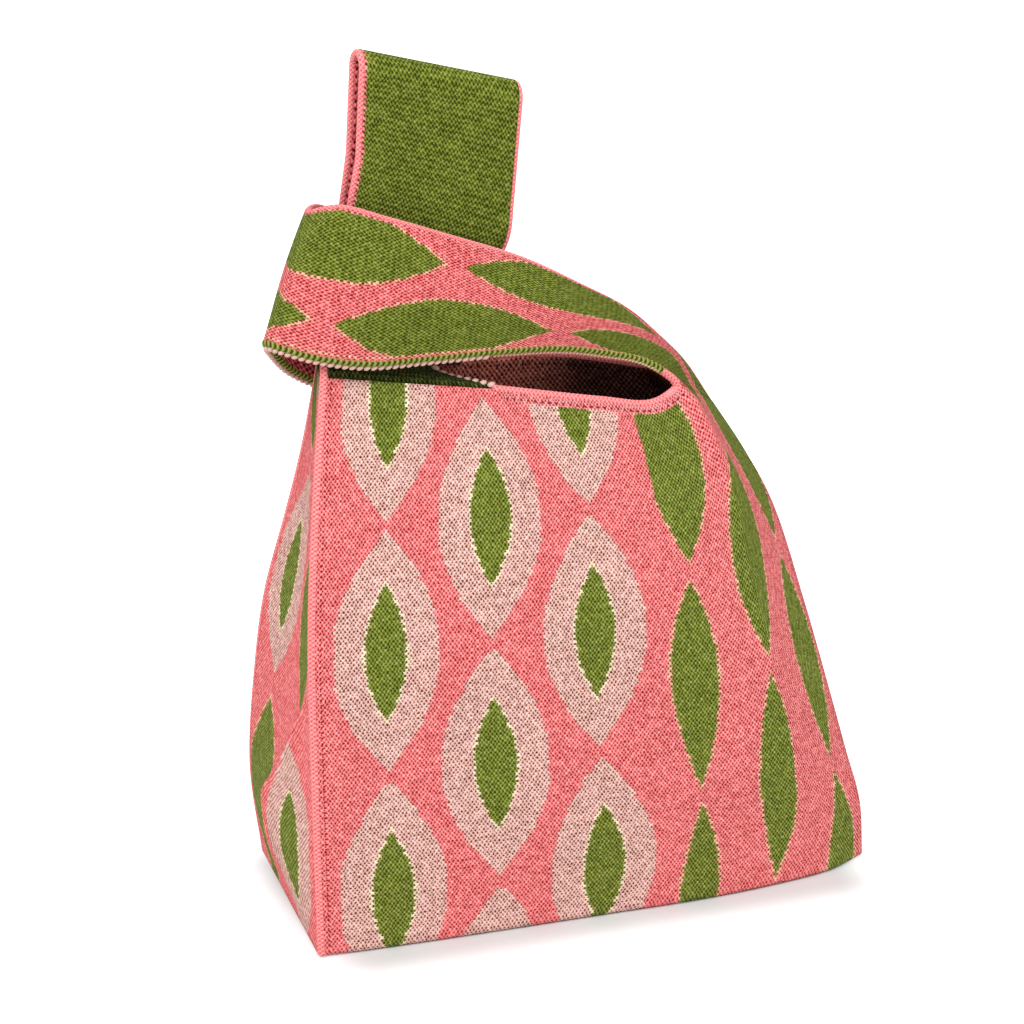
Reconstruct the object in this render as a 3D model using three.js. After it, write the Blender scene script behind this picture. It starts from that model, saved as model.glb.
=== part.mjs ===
// Knitted knot bag: a boxed bag body whose long right loop is wrapped round its short carry handle.
// Millimetres. +X runs right along the front, -Y is the front, +Z is up, the base stands on z = 0.
import * as THREE from 'three';

// Bag body
const BASE_WIDTH = 230;
const BASE_DEPTH = 80;
const SIDE_HEIGHT = 221;
const FOOT = 0.6;
const BACK_CORNER_RISE = 10;
const RIGHT_FOOT_SPREAD = 1;
const LEFT_GUSSET_HOLLOW = 5;
const LEFT_GUSSET_BELLY = 4;
const RIGHT_GUSSET_BULGE = 3;

// Mouth: the slot between the front lip and the long loop. The back lip stands higher by backRise.
const SLOT = { x: 41, y: 15.5, z: SIDE_HEIGHT - 19, backRise: 0 };
const LIP_LOW = { x: 27, y: 20, z: SIDE_HEIGHT - 23, backRise: 6.5 };
const LIP_MID = { x: 5, y: 22, z: SIDE_HEIGHT - 19, backRise: 6.5 };
const LIP_END = { x: -36, y: 20, z: SIDE_HEIGHT - 11, backRise: 2 };
const SHOULDER = { x: 59, y: 3.5, z: SIDE_HEIGHT - 31, backRise: 0 };

// Long loop, wrapped round the carry handle
const KNOT_TOP = { x: -101.5, z: SIDE_HEIGHT + 62.5 };
const KNOT_LOW = { x: -118.5, z: SIDE_HEIGHT + 10 };
const BAND_CROWN = 3;
const BACK_SAG_UPPER = 14;
const BACK_SAG_LOWER = 17;
const BACK_SPREAD = 5;
const SAG_REACH_UPPER = 1;
const SAG_REACH_LOWER = 0.66;

// Short carry handle
const HANDLE_HALF_DEPTH = 5.5;
const HANDLE_LEAN_LEFT = 2;
const HANDLE_LEAN_RIGHT = 3.7;
const LOOP_HEIGHT_LEFT = 37;
const LOOP_HEIGHT_RIGHT = 41.5;
const HINGE_LEFT = { x: -84, z: SIDE_HEIGHT + 78 };
const HINGE_RIGHT = { x: -24.7, z: SIDE_HEIGHT + 58 };
const FLEX_ABOVE = 1.5;
const FLEX_BELOW = 3.2;
const ROOT_SPREAD = 3.5;
const ROOT_PINCH = 19;
const ROOT_PINCH_RISE = 12;

// Cloth and edges
const CLOTH = 3;
const GAP = 0.3;
const SEAM_RADIUS = 2.4;
const EDGE_RADIUS = 2;
const SEAM_TRIM = SEAM_RADIUS + 2 * GAP;
const EDGE_TRIM = EDGE_RADIUS + 2 * GAP;
const EDGE_END = 0.9;
const SEAM_START = 3;
const SLOT_END = 6.5;
const SHOULDER_END = 2.5;
const BASE_TRIM = CLOTH / 2 + 1.7 * GAP;
const SAMPLES = 48;

// Colours
const GREEN = '#687427';
const BAND_GREEN = '#767f2f';
const FRONT_PINK = '#e59a96';
const BACK_PINK = '#e58a88';
const GUSSET_PINK = '#e2877f';
const EDGE_PINK = '#e28181';
const BASE_PINK = '#dd7b7a';
const WOOL_ROUGHNESS = 0.92;

const HALF_WIDTH = BASE_WIDTH / 2;
const HALF_DEPTH = BASE_DEPTH / 2;

const point = (x, y, z) => new THREE.Vector3(x, y, z);
const mix = THREE.MathUtils.lerp;
const smooth = THREE.MathUtils.smoothstep;
const bump = (t) => Math.sin(Math.PI * t) ** 2;

// How far the soft base lifts off the floor: only its back left corner does.
function floorRise(x, y) {
  const left = smooth(-x, 0.55 * HALF_WIDTH, HALF_WIDTH);
  const back = smooth(y, -HALF_DEPTH, HALF_DEPTH);
  return BACK_CORNER_RISE * left * back;
}

const clamp01 = (t) => THREE.MathUtils.clamp(t, 0, 1);
const steps = (count) => [...Array(count + 1).keys()].map((k) => k / count);

// A smooth curve through hand-placed points, by share of the points passed.
function stationCurve(points) {
  const spline = new THREE.CatmullRomCurve3(points, false, 'centripetal');
  return (t) => spline.getPoint(clamp01(t));
}

// The same as a fine polyline.
function polyline(points) {
  return steps(SAMPLES * 2).map(stationCurve(points));
}

function lengths(line) {
  const reach = [0];
  for (let i = 1; i < line.length; i += 1) {
    reach.push(reach[i - 1] + line[i].distanceTo(line[i - 1]));
  }
  return reach;
}

// A polyline by share of its length.
function along(line) {
  const reach = lengths(line);
  return (t) => {
    const s = clamp01(t) * reach.at(-1);
    const end = Math.max(reach.findIndex((length) => length >= s), 1);
    const part = (s - reach[end - 1]) / (reach[end] - reach[end - 1]);
    return line[end - 1].clone().lerp(line[end], part);
  };
}

// Rails of the body. side is -1 for the front and +1 for the back.
function bottomRail(side) {
  const rightEnd = 1 + RIGHT_FOOT_SPREAD / HALF_WIDTH;
  const stops = [[-1, 1], [-0.66, 1.05], [0, 1.1], [0.35, 1.12], [0.61, 1.06], [0.87, 0.9], [rightEnd, 0.66]];
  return stops.map(([fx, fy]) => {
    const x = fx * HALF_WIDTH;
    const y = side * fy * HALF_DEPTH;
    return point(x, y, FOOT + floorRise(x, y));
  });
}

function leftRail(side) {
  const front = [[1, 1, 0], [1.01, 1, 0.29], [1, 0.88, 0.57], [0.95, 0.65, 0.8], [0.878, 0.3, 1]];
  const back = [[1, 1, 0], [1, 1.1, 0.17], [0.978, 1.03, 0.39], [0.953, 0.9, 0.53], [0.9, 0.67, 0.69],
    [0.865, 0.42, 0.83], [0.838, 0.13, 1]];
  const stops = side < 0 ? front : back;
  return stops.map(([fx, fy, fz]) => {
    const x = -fx * HALF_WIDTH;
    const y = side * fy * HALF_DEPTH;
    return point(x, y, fz * SIDE_HEIGHT + (1 - fz) * (FOOT + floorRise(x, y)));
  });
}

function rightRail(side) {
  const foot = HALF_WIDTH + RIGHT_FOOT_SPREAD;
  const stops = [[0, 0.66, 0], [0.05, 0.74, 0.13], [0.17, 0.78, 0.25], [0.28, 0.75, 0.37], [0.46, 0.62, 0.58],
    [0.64, 0.38, 0.79], [0.81, 0.25, 0.9]];
  const rail = stops.map(([fx, fy, fz]) => {
    return point(mix(foot, SHOULDER.x, fx), side * fy * HALF_DEPTH, mix(FOOT, SHOULDER.z, fz));
  });
  rail.push(lipPoint(SHOULDER, side));
  return rail;
}

function lipPoint({ x, y, z, backRise }, side) {
  return point(x, side * y, side > 0 ? z + backRise : z);
}

// The panel's top runs along the handle's root, then along the open lip, then over the shoulder.
function rootFoot(side) {
  return [leftRail(side).at(-1), lipPoint(LIP_END, side)];
}

function lipRail(side) {
  return polyline([LIP_END, LIP_MID, LIP_LOW, SLOT].map((p) => lipPoint(p, side)));
}

function topRail(side) {
  return [...rootFoot(side), ...lipRail(side).slice(1), lipPoint(SHOULDER, side)];
}

function coons(bottom, top, left, right) {
  const corner = [bottom(0), bottom(1), top(0), top(1)];
  return (u, v) => {
    const p = left(v).multiplyScalar(1 - u).addScaledVector(right(v), u);
    p.addScaledVector(bottom(u), 1 - v).addScaledVector(top(u), v);
    p.addScaledVector(corner[0], -(1 - u) * (1 - v)).addScaledVector(corner[1], -u * (1 - v));
    return p.addScaledVector(corner[2], -(1 - u) * v).addScaledVector(corner[3], -u * v);
  };
}

const smoothRail = (points) => along(polyline(points));

function panelSurface(side) {
  const bottom = smoothRail(bottomRail(side));
  return coons(bottom, along(topRail(side)), smoothRail(leftRail(side)), smoothRail(rightRail(side)));
}

function leftGussetSurface() {
  const front = smoothRail(leftRail(-1));
  const back = smoothRail(leftRail(1));
  return (u, v) => {
    const p = front(v).lerp(back(v), u);
    const hollow = LEFT_GUSSET_HOLLOW * smooth(v, 0.2, 0.55) * (1 - smooth(v, 0.75, 1));
    const belly = LEFT_GUSSET_BELLY * bump(Math.min(v / 0.3, 1));
    p.x += (hollow - belly) * Math.sin(Math.PI * u);
    return p;
  };
}

const GUSSET_TOP = 0.86;

function rightGussetSurface() {
  const front = smoothRail(rightRail(-1));
  const back = smoothRail(rightRail(1));
  return (u, v) => {
    const p = front(v * GUSSET_TOP).lerp(back(v * GUSSET_TOP), u);
    p.x += RIGHT_GUSSET_BULGE * Math.sin(Math.PI * u) * (1 - v);
    return p;
  };
}

function baseSurface() {
  const front = smoothRail(bottomRail(-1));
  const back = smoothRail(bottomRail(1));
  return (u, v) => {
    const p = front(u).lerp(back(u), v);
    p.z = CLOTH / 2 + floorRise(p.x, p.y);
    return p;
  };
}

// Long loop: stations from the shoulder to the left fold as [share of the run, share of the rise, depth].
const BAND_UPPER = [[0, 0, SHOULDER.y], [0.073, 0.186, 3], [0.147, 0.315, 5], [0.245, 0.462, 10],
  [0.367, 0.585, 13], [0.52, 0.724, 15], [0.697, 0.84, 15.5], [0.844, 0.93, 15], [0.948, 0.985, 12.5],
  [0.988, 0.965, 7], [1, 0.945, 0]];
const BAND_LOWER = [[0, 0, SLOT.y], [0.05, 0.25, 16], [0.117, 0.46, 17], [0.2, 0.61, 18.5],
  [0.313, 0.75, 20], [0.466, 0.8, 20.5], [0.632, 0.8, 20], [0.804, 0.8, 18.5], [0.914, 0.9, 14],
  [0.982, 1, 7], [1, 1, 0]];

function bandRail(stations, start, end, sag, reach, spread) {
  const front = stations.map(([run, rise, depth]) => {
    return point(mix(start.x, end.x, run), -depth, mix(start.z, end.z, rise));
  });
  const back = front.slice(0, -1).reverse().map((p, i) => {
    const t = bump(Math.min((i + 1) / (reach * (front.length - 1)), 1));
    return point(p.x, -p.y + spread * t, p.z - sag * t);
  });
  return stationCurve([...front, ...back]);
}

const bandUpper = bandRail(BAND_UPPER, SHOULDER, KNOT_TOP, BACK_SAG_UPPER, SAG_REACH_UPPER, 0);
const bandLower = bandRail(BAND_LOWER, SLOT, KNOT_LOW, BACK_SAG_LOWER, SAG_REACH_LOWER, BACK_SPREAD);

function bandSurface(u, v) {
  const p = bandLower(u).lerp(bandUpper(u), v);
  const ahead = bandLower(u + 0.004).lerp(bandUpper(u + 0.004), v);
  const behind = bandLower(u - 0.004).lerp(bandUpper(u - 0.004), v);
  const out = ahead.sub(behind).cross(bandUpper(u).sub(bandLower(u))).normalize();
  const ends = smooth(Math.min(u, 1 - u), 0, 0.08);
  return p.addScaledVector(out, -BAND_CROWN * ends * Math.sin(Math.PI * v));
}

// Carry handle
const handleEdge = {
  left: {
    hinge: point(HINGE_LEFT.x, 0, HINGE_LEFT.z),
    top: point(HINGE_LEFT.x + HANDLE_LEAN_LEFT, 0, HINGE_LEFT.z + LOOP_HEIGHT_LEFT),
  },
  right: {
    hinge: point(HINGE_RIGHT.x, 0, HINGE_RIGHT.z),
    top: point(HINGE_RIGHT.x + HANDLE_LEAN_RIGHT, 0, HINGE_RIGHT.z + LOOP_HEIGHT_RIGHT),
  },
};

// One edge of the handle's loop, from the hinge line at the front over the fold and down the back.
function loopEdge({ hinge, top }) {
  const up = top.clone().sub(hinge).normalize();
  const straight = top.distanceTo(hinge) - HANDLE_HALF_DEPTH - FLEX_ABOVE;
  const turn = Math.PI * HANDLE_HALF_DEPTH;
  return (t) => {
    const s = t * (2 * straight + turn);
    const angle = THREE.MathUtils.clamp((s - straight) / HANDLE_HALF_DEPTH, 0, Math.PI);
    const run = s < straight ? s : Math.min(straight, 2 * straight + turn - s);
    const height = FLEX_ABOVE + run + HANDLE_HALF_DEPTH * Math.sin(angle);
    const p = hinge.clone().addScaledVector(up, height);
    p.y = -HANDLE_HALF_DEPTH * Math.cos(angle);
    return p;
  };
}

const loopLeft = loopEdge(handleEdge.left);
const loopRight = loopEdge(handleEdge.right);

// Edges of the handle's root, from the mouth line up to the hinge line.
function rootLeftPoints(side) {
  const start = leftRail(side).at(-1);
  const { hinge, top } = handleEdge.left;
  const down = hinge.clone().sub(top).normalize();
  const end = hinge.clone().addScaledVector(down, FLEX_BELOW);
  end.y = side * HANDLE_HALF_DEPTH;
  const low = start.clone().lerp(end, 0.25);
  low.y = side * (HANDLE_HALF_DEPTH + 0.6 * ROOT_SPREAD);
  const high = start.clone().lerp(end, 0.75);
  high.y = end.y;
  return [start, low, high, end];
}

function rootRightPoints(side) {
  const start = lipPoint(LIP_END, side);
  const { hinge, top } = handleEdge.right;
  const down = hinge.clone().sub(top).normalize();
  const end = hinge.clone().addScaledVector(down, FLEX_BELOW);
  end.y = side * HANDLE_HALF_DEPTH;
  const spread = side * (HANDLE_HALF_DEPTH + ROOT_SPREAD);
  const pinched = point(start.x - ROOT_PINCH, spread, start.z + ROOT_PINCH_RISE);
  const inside = pinched.clone().lerp(end, 0.32);
  inside.y = side * (HANDLE_HALF_DEPTH + 0.3 * ROOT_SPREAD);
  const high = start.clone().lerp(end, 0.75);
  high.y = end.y;
  return [start, pinched, inside, high, end];
}

function rootSurface(side) {
  const left = smoothRail(rootLeftPoints(side));
  const right = smoothRail(rootRightPoints(side));
  return (u, v) => left(v).lerp(right(v), u);
}

// The strip of cloth that bends where the handle leaves the long loop.
function flexSurface(side) {
  const edgePoint = ({ hinge, top }, v) => {
    const up = top.clone().sub(hinge).normalize();
    const p = hinge.clone().addScaledVector(up, mix(GAP - FLEX_BELOW, FLEX_ABOVE - GAP, v));
    p.y = side * HANDLE_HALF_DEPTH;
    return p;
  };
  return (u, v) => edgePoint(handleEdge.left, v).lerp(edgePoint(handleEdge.right, v), u);
}

// A polyline cut short at both ends and divided evenly.
function divide(line, count, startTrim, endTrim) {
  const total = lengths(line).at(-1);
  const place = along(line);
  return steps(count).map((t) => place(mix(startTrim / total, 1 - endTrim / total, t)));
}

// The cut along a line that leaves a square distance from the edge it meets.
function squareTrim(trim, line, edge) {
  const sine = line.clone().normalize().cross(edge.clone().normalize()).length();
  return trim / Math.max(sine, 0.3);
}

function solid(vertices, triangles) {
  let volume = 0;
  for (const [a, b, c] of triangles) {
    volume += vertices[a].dot(vertices[b].clone().cross(vertices[c]));
  }
  const faces = volume < 0 ? triangles.map(([a, b, c]) => [a, c, b]) : triangles;
  const geometry = new THREE.BufferGeometry();
  const place = vertices.flatMap((p) => [p.x, p.y, p.z]);
  geometry.setAttribute('position', new THREE.Float32BufferAttribute(place, 3));
  geometry.setIndex(faces.flat());
  geometry.computeVertexNormals();
  return geometry;
}

// A cloth of constant thickness whose middle lies on the surface, cut back square from its four edges.
function cloth(surface, across, upward, { left = GAP, right = GAP, bottom = GAP, top = GAP }) {
  const shares = steps(SAMPLES);
  const fine = shares.map((v) => shares.map((u) => surface(u, v)));
  const step = (a, b) => b.clone().sub(a);
  const rows = fine.map((row, j) => {
    const above = fine[Math.min(j + 1, SAMPLES)];
    const below = fine[Math.max(j - 1, 0)];
    const start = squareTrim(left, step(row[0], row[1]), step(below[0], above[0]));
    const end = squareTrim(right, step(row.at(-2), row.at(-1)), step(below.at(-1), above.at(-1)));
    return divide(row, across, start, end);
  });
  const grid = [];
  for (let i = 0; i <= across; i += 1) {
    const [before, after] = [Math.max(i - 1, 0), Math.min(i + 1, across)];
    const topTrim = typeof top === 'function' ? top(i / across) : top;
    const line = rows.map((row) => row[i]);
    const start = squareTrim(bottom, step(line[0], line[1]), step(rows[0][before], rows[0][after]));
    const topEdge = step(rows.at(-1)[before], rows.at(-1)[after]);
    const end = squareTrim(topTrim, step(line.at(-2), line.at(-1)), topEdge);
    grid.push(divide(line, upward, start, end));
  }
  const at = (i, j) => grid[Math.min(Math.max(i, 0), across)][Math.min(Math.max(j, 0), upward)];
  const vertices = [];
  for (const offset of [CLOTH / 2, -CLOTH / 2]) {
    for (let i = 0; i <= across; i += 1) {
      for (let j = 0; j <= upward; j += 1) {
        const du = at(i + 1, j).clone().sub(at(i - 1, j));
        const dv = at(i, j + 1).clone().sub(at(i, j - 1));
        vertices.push(at(i, j).clone().addScaledVector(du.cross(dv).normalize(), offset));
      }
    }
  }
  const layer = (across + 1) * (upward + 1);
  const id = (i, j) => i * (upward + 1) + j;
  const triangles = [];
  const quad = (a, b, c, d) => triangles.push([a, b, c], [a, c, d]);
  for (let i = 0; i < across; i += 1) {
    for (let j = 0; j < upward; j += 1) {
      quad(id(i, j), id(i + 1, j), id(i + 1, j + 1), id(i, j + 1));
      quad(layer + id(i, j), layer + id(i, j + 1), layer + id(i + 1, j + 1), layer + id(i + 1, j));
    }
  }
  const rim = [];
  for (let i = 0; i < across; i += 1) rim.push(id(i, 0));
  for (let j = 0; j < upward; j += 1) rim.push(id(across, j));
  for (let i = across; i > 0; i -= 1) rim.push(id(i, upward));
  for (let j = upward; j > 0; j -= 1) rim.push(id(0, j));
  rim.forEach((a, k) => {
    const b = rim[(k + 1) % rim.length];
    quad(b, a, layer + a, layer + b);
  });
  return solid(vertices, triangles);
}

// A round cord along a rail, cut short at its ends.
function cord(points, radius, count, startTrim, endTrim, sides = 5) {
  const path = divide(points, count, startTrim, endTrim);
  const vertices = [];
  const triangles = [];
  let normal = point(0.31, 0.87, 0.38);
  path.forEach((p, i) => {
    const tangent = path[Math.min(i + 1, count)].clone().sub(path[Math.max(i - 1, 0)]).normalize();
    normal = normal.addScaledVector(tangent, -normal.dot(tangent)).normalize();
    const other = tangent.clone().cross(normal);
    for (let k = 0; k < sides; k += 1) {
      const angle = (2 * Math.PI * k) / sides;
      const spoke = normal.clone().multiplyScalar(radius * Math.cos(angle));
      vertices.push(p.clone().add(spoke).addScaledVector(other, radius * Math.sin(angle)));
    }
  });
  for (let i = 0; i < count; i += 1) {
    for (let k = 0; k < sides; k += 1) {
      const a = i * sides + k;
      const b = i * sides + ((k + 1) % sides);
      triangles.push([a, b, b + sides], [a, b + sides, a + sides]);
    }
  }
  for (let k = 1; k < sides - 1; k += 1) {
    triangles.push([0, k + 1, k]);
    triangles.push([count * sides, count * sides + k, count * sides + k + 1]);
  }
  return solid(vertices, triangles);
}

const bag = new THREE.Group();
bag.name = 'knitted_knot_bag';

function add(name, geometry, colour) {
  const material = new THREE.MeshStandardMaterial({ color: colour, roughness: WOOL_ROUGHNESS, metalness: 0 });
  const mesh = new THREE.Mesh(geometry, material);
  mesh.name = name;
  bag.add(mesh);
}

for (const [side, place, colour] of [[-1, 'front', FRONT_PINK], [1, 'back', BACK_PINK]]) {
  const total = lengths(topRail(side)).at(-1);
  const lipStart = lengths(rootFoot(side)).at(-1) / total;
  const lipEnd = lipStart + lengths(lipRail(side)).at(-1) / total;
  const panelTop = (t) => (t > lipStart - 0.03 && t < lipEnd + 0.02 ? EDGE_TRIM : 2 * GAP);
  const panelTrims = { left: SEAM_TRIM, right: SEAM_TRIM, bottom: 0, top: panelTop };
  add(`${place}_panel`, cloth(panelSurface(side), 22, 12, panelTrims), colour);

  const rootTrims = { left: SEAM_TRIM, right: EDGE_TRIM, bottom: GAP, top: 0 };
  add(`carry_handle_root_${place}`, cloth(rootSurface(side), 6, 12, rootTrims), GREEN);
  const flexTrims = { left: 0, right: 0, bottom: 0, top: 0 };
  add(`carry_handle_flex_${place}`, cloth(flexSurface(side), 4, 1, flexTrims), GREEN);

  const leftSeam = [...polyline(leftRail(side)), ...polyline(rootLeftPoints(side)).slice(1)];
  add(`${place}_left_seam`, cord(leftSeam, SEAM_RADIUS, 36, SEAM_START, EDGE_END), EDGE_PINK);
  const rightSeam = polyline(rightRail(side));
  add(`${place}_right_seam`, cord(rightSeam, SEAM_RADIUS, 30, SEAM_START, EDGE_END), EDGE_PINK);
  const mouth = [...lipRail(side).reverse(), ...polyline(rootRightPoints(side)).slice(1)];
  add(`${place}_mouth_edge`, cord(mouth, EDGE_RADIUS, 44, SLOT_END, EDGE_END), EDGE_PINK);
}

const gussetTrims = { left: SEAM_TRIM, right: SEAM_TRIM, bottom: 0, top: GAP };
add('left_gusset', cloth(leftGussetSurface(), 8, 16, gussetTrims), GUSSET_PINK);
add('right_gusset', cloth(rightGussetSurface(), 8, 14, gussetTrims), GUSSET_PINK);

const baseTrims = { left: BASE_TRIM, right: BASE_TRIM, bottom: BASE_TRIM, top: BASE_TRIM };
add('base_panel', cloth(baseSurface(), 14, 5, baseTrims), BASE_PINK);

const bandTrims = { left: 2 * GAP, right: 2 * GAP, bottom: EDGE_TRIM, top: EDGE_TRIM };
add('knot_loop_band', cloth(bandSurface, 60, 5, bandTrims), BAND_GREEN);
const upperEdge = steps(4 * SAMPLES).map(bandUpper);
add('knot_loop_upper_edge', cord(upperEdge, EDGE_RADIUS, 72, SHOULDER_END, SHOULDER_END), EDGE_PINK);
const lowerEdge = steps(4 * SAMPLES).map(bandLower);
add('knot_loop_lower_edge', cord(lowerEdge, EDGE_RADIUS, 72, SLOT_END, SLOT_END), BAND_GREEN);

const loopSurface = (u, v) => loopLeft(v).lerp(loopRight(v), u);
const loopTrims = { left: EDGE_TRIM, right: EDGE_TRIM, bottom: 0, top: 0 };
add('carry_handle_loop', cloth(loopSurface, 6, 26, loopTrims), GREEN);
const handleLeft = steps(2 * SAMPLES).map(loopLeft);
add('carry_handle_left_edge', cord(handleLeft, EDGE_RADIUS, 26, EDGE_END, EDGE_END), EDGE_PINK);
const handleRight = steps(2 * SAMPLES).map(loopRight);
add('carry_handle_right_edge', cord(handleRight, EDGE_RADIUS, 26, EDGE_END, EDGE_END), EDGE_PINK);

export default bag;
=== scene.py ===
"""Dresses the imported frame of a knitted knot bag: cloth, rolled edges, yarn finishes and a plain stage."""

from collections import namedtuple
from math import radians
from types import SimpleNamespace

import bpy
import numpy as np
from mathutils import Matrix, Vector


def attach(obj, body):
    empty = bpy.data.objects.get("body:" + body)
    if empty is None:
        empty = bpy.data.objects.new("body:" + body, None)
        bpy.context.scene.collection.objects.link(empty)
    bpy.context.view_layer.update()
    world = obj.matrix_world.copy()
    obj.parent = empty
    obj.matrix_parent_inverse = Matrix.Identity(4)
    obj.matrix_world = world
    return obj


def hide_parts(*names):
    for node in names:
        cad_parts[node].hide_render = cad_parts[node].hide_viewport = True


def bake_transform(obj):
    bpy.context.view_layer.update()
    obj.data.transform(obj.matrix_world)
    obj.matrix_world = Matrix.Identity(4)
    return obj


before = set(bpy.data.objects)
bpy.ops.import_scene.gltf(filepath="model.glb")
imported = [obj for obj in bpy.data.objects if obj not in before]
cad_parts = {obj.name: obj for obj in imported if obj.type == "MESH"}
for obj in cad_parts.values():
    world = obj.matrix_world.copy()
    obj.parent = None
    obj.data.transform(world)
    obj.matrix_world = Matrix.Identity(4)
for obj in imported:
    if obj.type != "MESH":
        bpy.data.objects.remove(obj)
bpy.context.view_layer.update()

bl_info = {
    "name": "Knitted Knot Bag",
    "version": (1, 0, 0),
    "blender": (4, 5, 0),
    "location": "View3D > Sidebar > Knot Bag",
    "description": "Builds a knitted knot bag's cloth, rolled edges and finishes around its frame",
    "category": "Add Mesh",
}

MM = 0.001
FRONT = -1
BACK = 1
SIDES = {FRONT: "front", BACK: "back"}
KNIT_MAP = "knit_mm"


def length(label, description, default):
    """A length in metres for a property group."""
    return bpy.props.FloatProperty(name=label, description=description, default=default, unit="LENGTH")


def colour(label, description, default):
    """A colour as it shows on screen for a property group."""
    return bpy.props.FloatVectorProperty(
        name=label, description=description, default=default, size=3, min=0, max=1, subtype="COLOR_GAMMA"
    )


class BodySizes(bpy.types.PropertyGroup):
    """Sizes of the bag's body."""

    base_width: length("Base width", "Width of the boxed base along the front", 0.230)
    base_depth: length("Base depth", "Depth of the boxed base at its corners", 0.080)
    side_height: length("Side height", "Height of the left side up to the handle's root", 0.221)
    corner_rise: length("Corner rise", "How far the back left corner lifts off the floor", 0.010)
    foot_spread: length("Foot spread", "How far the right foot stands outside the base", 0.0025)
    gusset_hollow: length("Gusset hollow", "How far the left side is drawn in half way up", 0.005)
    gusset_belly: length("Gusset belly", "How far the left side swells low down", 0.004)
    gusset_bulge: length("Gusset bulge", "How far the right side swells at its foot", 0.003)
    crease_height: length("Crease height", "Height of the fold that runs across the left side", 0.0050)
    shoulder_ridge: length("Shoulder ridge", "Height of the ridge below the mouth's right end", 0.0022)
    bottom_round: length("Bottom round", "Radius of the turn from the panels to the base", 0.003)
    ripple: length("Ripple", "Height of the soft waves in the panels", 0.0011)
    cloth: length("Cloth", "Thickness of the knit", 0.003)
    seam_radius: length("Seam radius", "Radius of the ridges along the left box edges", 0.0017)
    side_radius: length("Side radius", "Radius of the ridges along the right box edges", 0.0013)
    edge_radius: length("Edge radius", "Radius of the rolled edges of the mouth", 0.0016)


class StrapSizes(bpy.types.PropertyGroup):
    """Sizes of the long loop and of the short carry handle."""

    band_crown: length("Band crown", "How far the long loop swells between its edges", 0.003)
    sag_upper: length("Upper sag", "How far the long loop's upper edge hangs lower behind", 0.014)
    sag_lower: length("Lower sag", "How far the long loop's lower edge hangs lower behind", 0.019)
    spread: length("Back spread", "How far the long loop's lower edge stands off behind", 0.005)
    band_width: length("Band width", "Width of the long loop laid flat", 0.062)
    half_depth: length("Handle half depth", "Half the distance between the handle's two layers", 0.0055)
    lean_left: length("Left lean", "How far the handle's left edge leans to the right", 0.002)
    lean_right: length("Right lean", "How far the handle's right edge leans to the right", 0.0037)
    loop_left: length("Left height", "Height of the handle's left edge above its hinge", 0.037)
    loop_right: length("Right height", "Height of the handle's right edge above its hinge", 0.0415)
    root_spread: length("Root spread", "How far the handle's layers part below the long loop", 0.0035)
    roll_radius: length("Roll radius", "Radius of the handle's rolled edges", 0.0013)
    rim_radius: length("Rim radius", "Radius of the long loop's thin upper edge", 0.0011)
    braid_radius: length("Braid radius", "Radius of the long loop's braided lower edge", 0.0017)
    bead: length("Bead", "Length of one loop in the row under the long loop", 0.0027)
    fine_bead: length("Fine bead", "Length of one loop in the fine rows beside that row", 0.0015)
    root_bead: length("Root bead", "Length of one loop along the root's inner edge", 0.0031)


class YarnFinish(bpy.types.PropertyGroup):
    """Stitch size and yarn colours."""

    stitch_width: length("Stitch width", "Distance between two stitches in a course", 0.00160)
    course_height: length("Course height", "Distance between two courses", 0.00106)
    pink: colour("Pink", "Ground yarn", (0.94, 0.485, 0.485))
    pale: colour("Pale pink", "Yarn of the large leaves", (0.91, 0.71, 0.665))
    green: colour("Green", "Yarn of the carry handle, the braid and the leaves", (0.44, 0.485, 0.17))
    peach: colour("Peach", "Outline stitches on the pink ground", (0.93, 0.66, 0.55))
    cream: colour("Cream", "Outline stitches on the pale ground", (0.95, 0.86, 0.72))
    edge: colour("Edge pink", "Yarn of the pinched and rolled edges", (0.93, 0.54, 0.54))
    bead: colour("Bead", "Yarn of the small loops along the edges", (0.76, 0.57, 0.50))
    fine_bead: colour("Fine bead", "Yarn of the fine loops under the braid", (0.72, 0.50, 0.38))
    reverse: colour("Reverse", "Floats on the inside of the body", (0.95, 0.55, 0.47))
    lining: colour("Lining", "Floats on the inside of the straps", (0.80, 0.36, 0.37))
    # Painted shade: the brightness left in the holes between stitches.
    shade: bpy.props.FloatProperty(
        name="Hole shade", description="Brightness left between stitches", default=0.42, subtype="FACTOR"
    )


GROUPS = {"knot_bag_body": BodySizes, "knot_bag_straps": StrapSizes, "knot_bag_yarn": YarnFinish}


def millimetres(group):
    """A property group's lengths in millimetres, by name."""
    names = [p.identifier for p in group.bl_rna.properties if p.type == "FLOAT" and p.unit == "LENGTH"]
    return SimpleNamespace(**{name: getattr(group, name) / MM for name in names})


def body_sizes():
    """The body's sizes in millimetres."""
    return millimetres(bpy.context.scene.knot_bag_body)


def strap_sizes():
    """The straps' sizes in millimetres."""
    return millimetres(bpy.context.scene.knot_bag_straps)


# Curves

def smooth(value, low, high):
    """Smoothstep: 3 t^2 - 2 t^3 with t the share of the way from low to high."""
    t = np.clip((value - low) / (high - low), 0, 1)
    return t * t * (3 - 2 * t)


def hump(t):
    """One rise and fall over 0 to 1: sine squared."""
    return np.sin(np.pi * np.clip(t, 0, 1)) ** 2


def unit(vectors):
    """Vectors divided by their lengths."""
    return vectors / np.linalg.norm(vectors, axis=-1, keepdims=True)


def paired(first, second):
    """Two arrays side by side, each spread over the other's shape."""
    return np.stack(np.broadcast_arrays(first, second), axis=-1)


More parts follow.
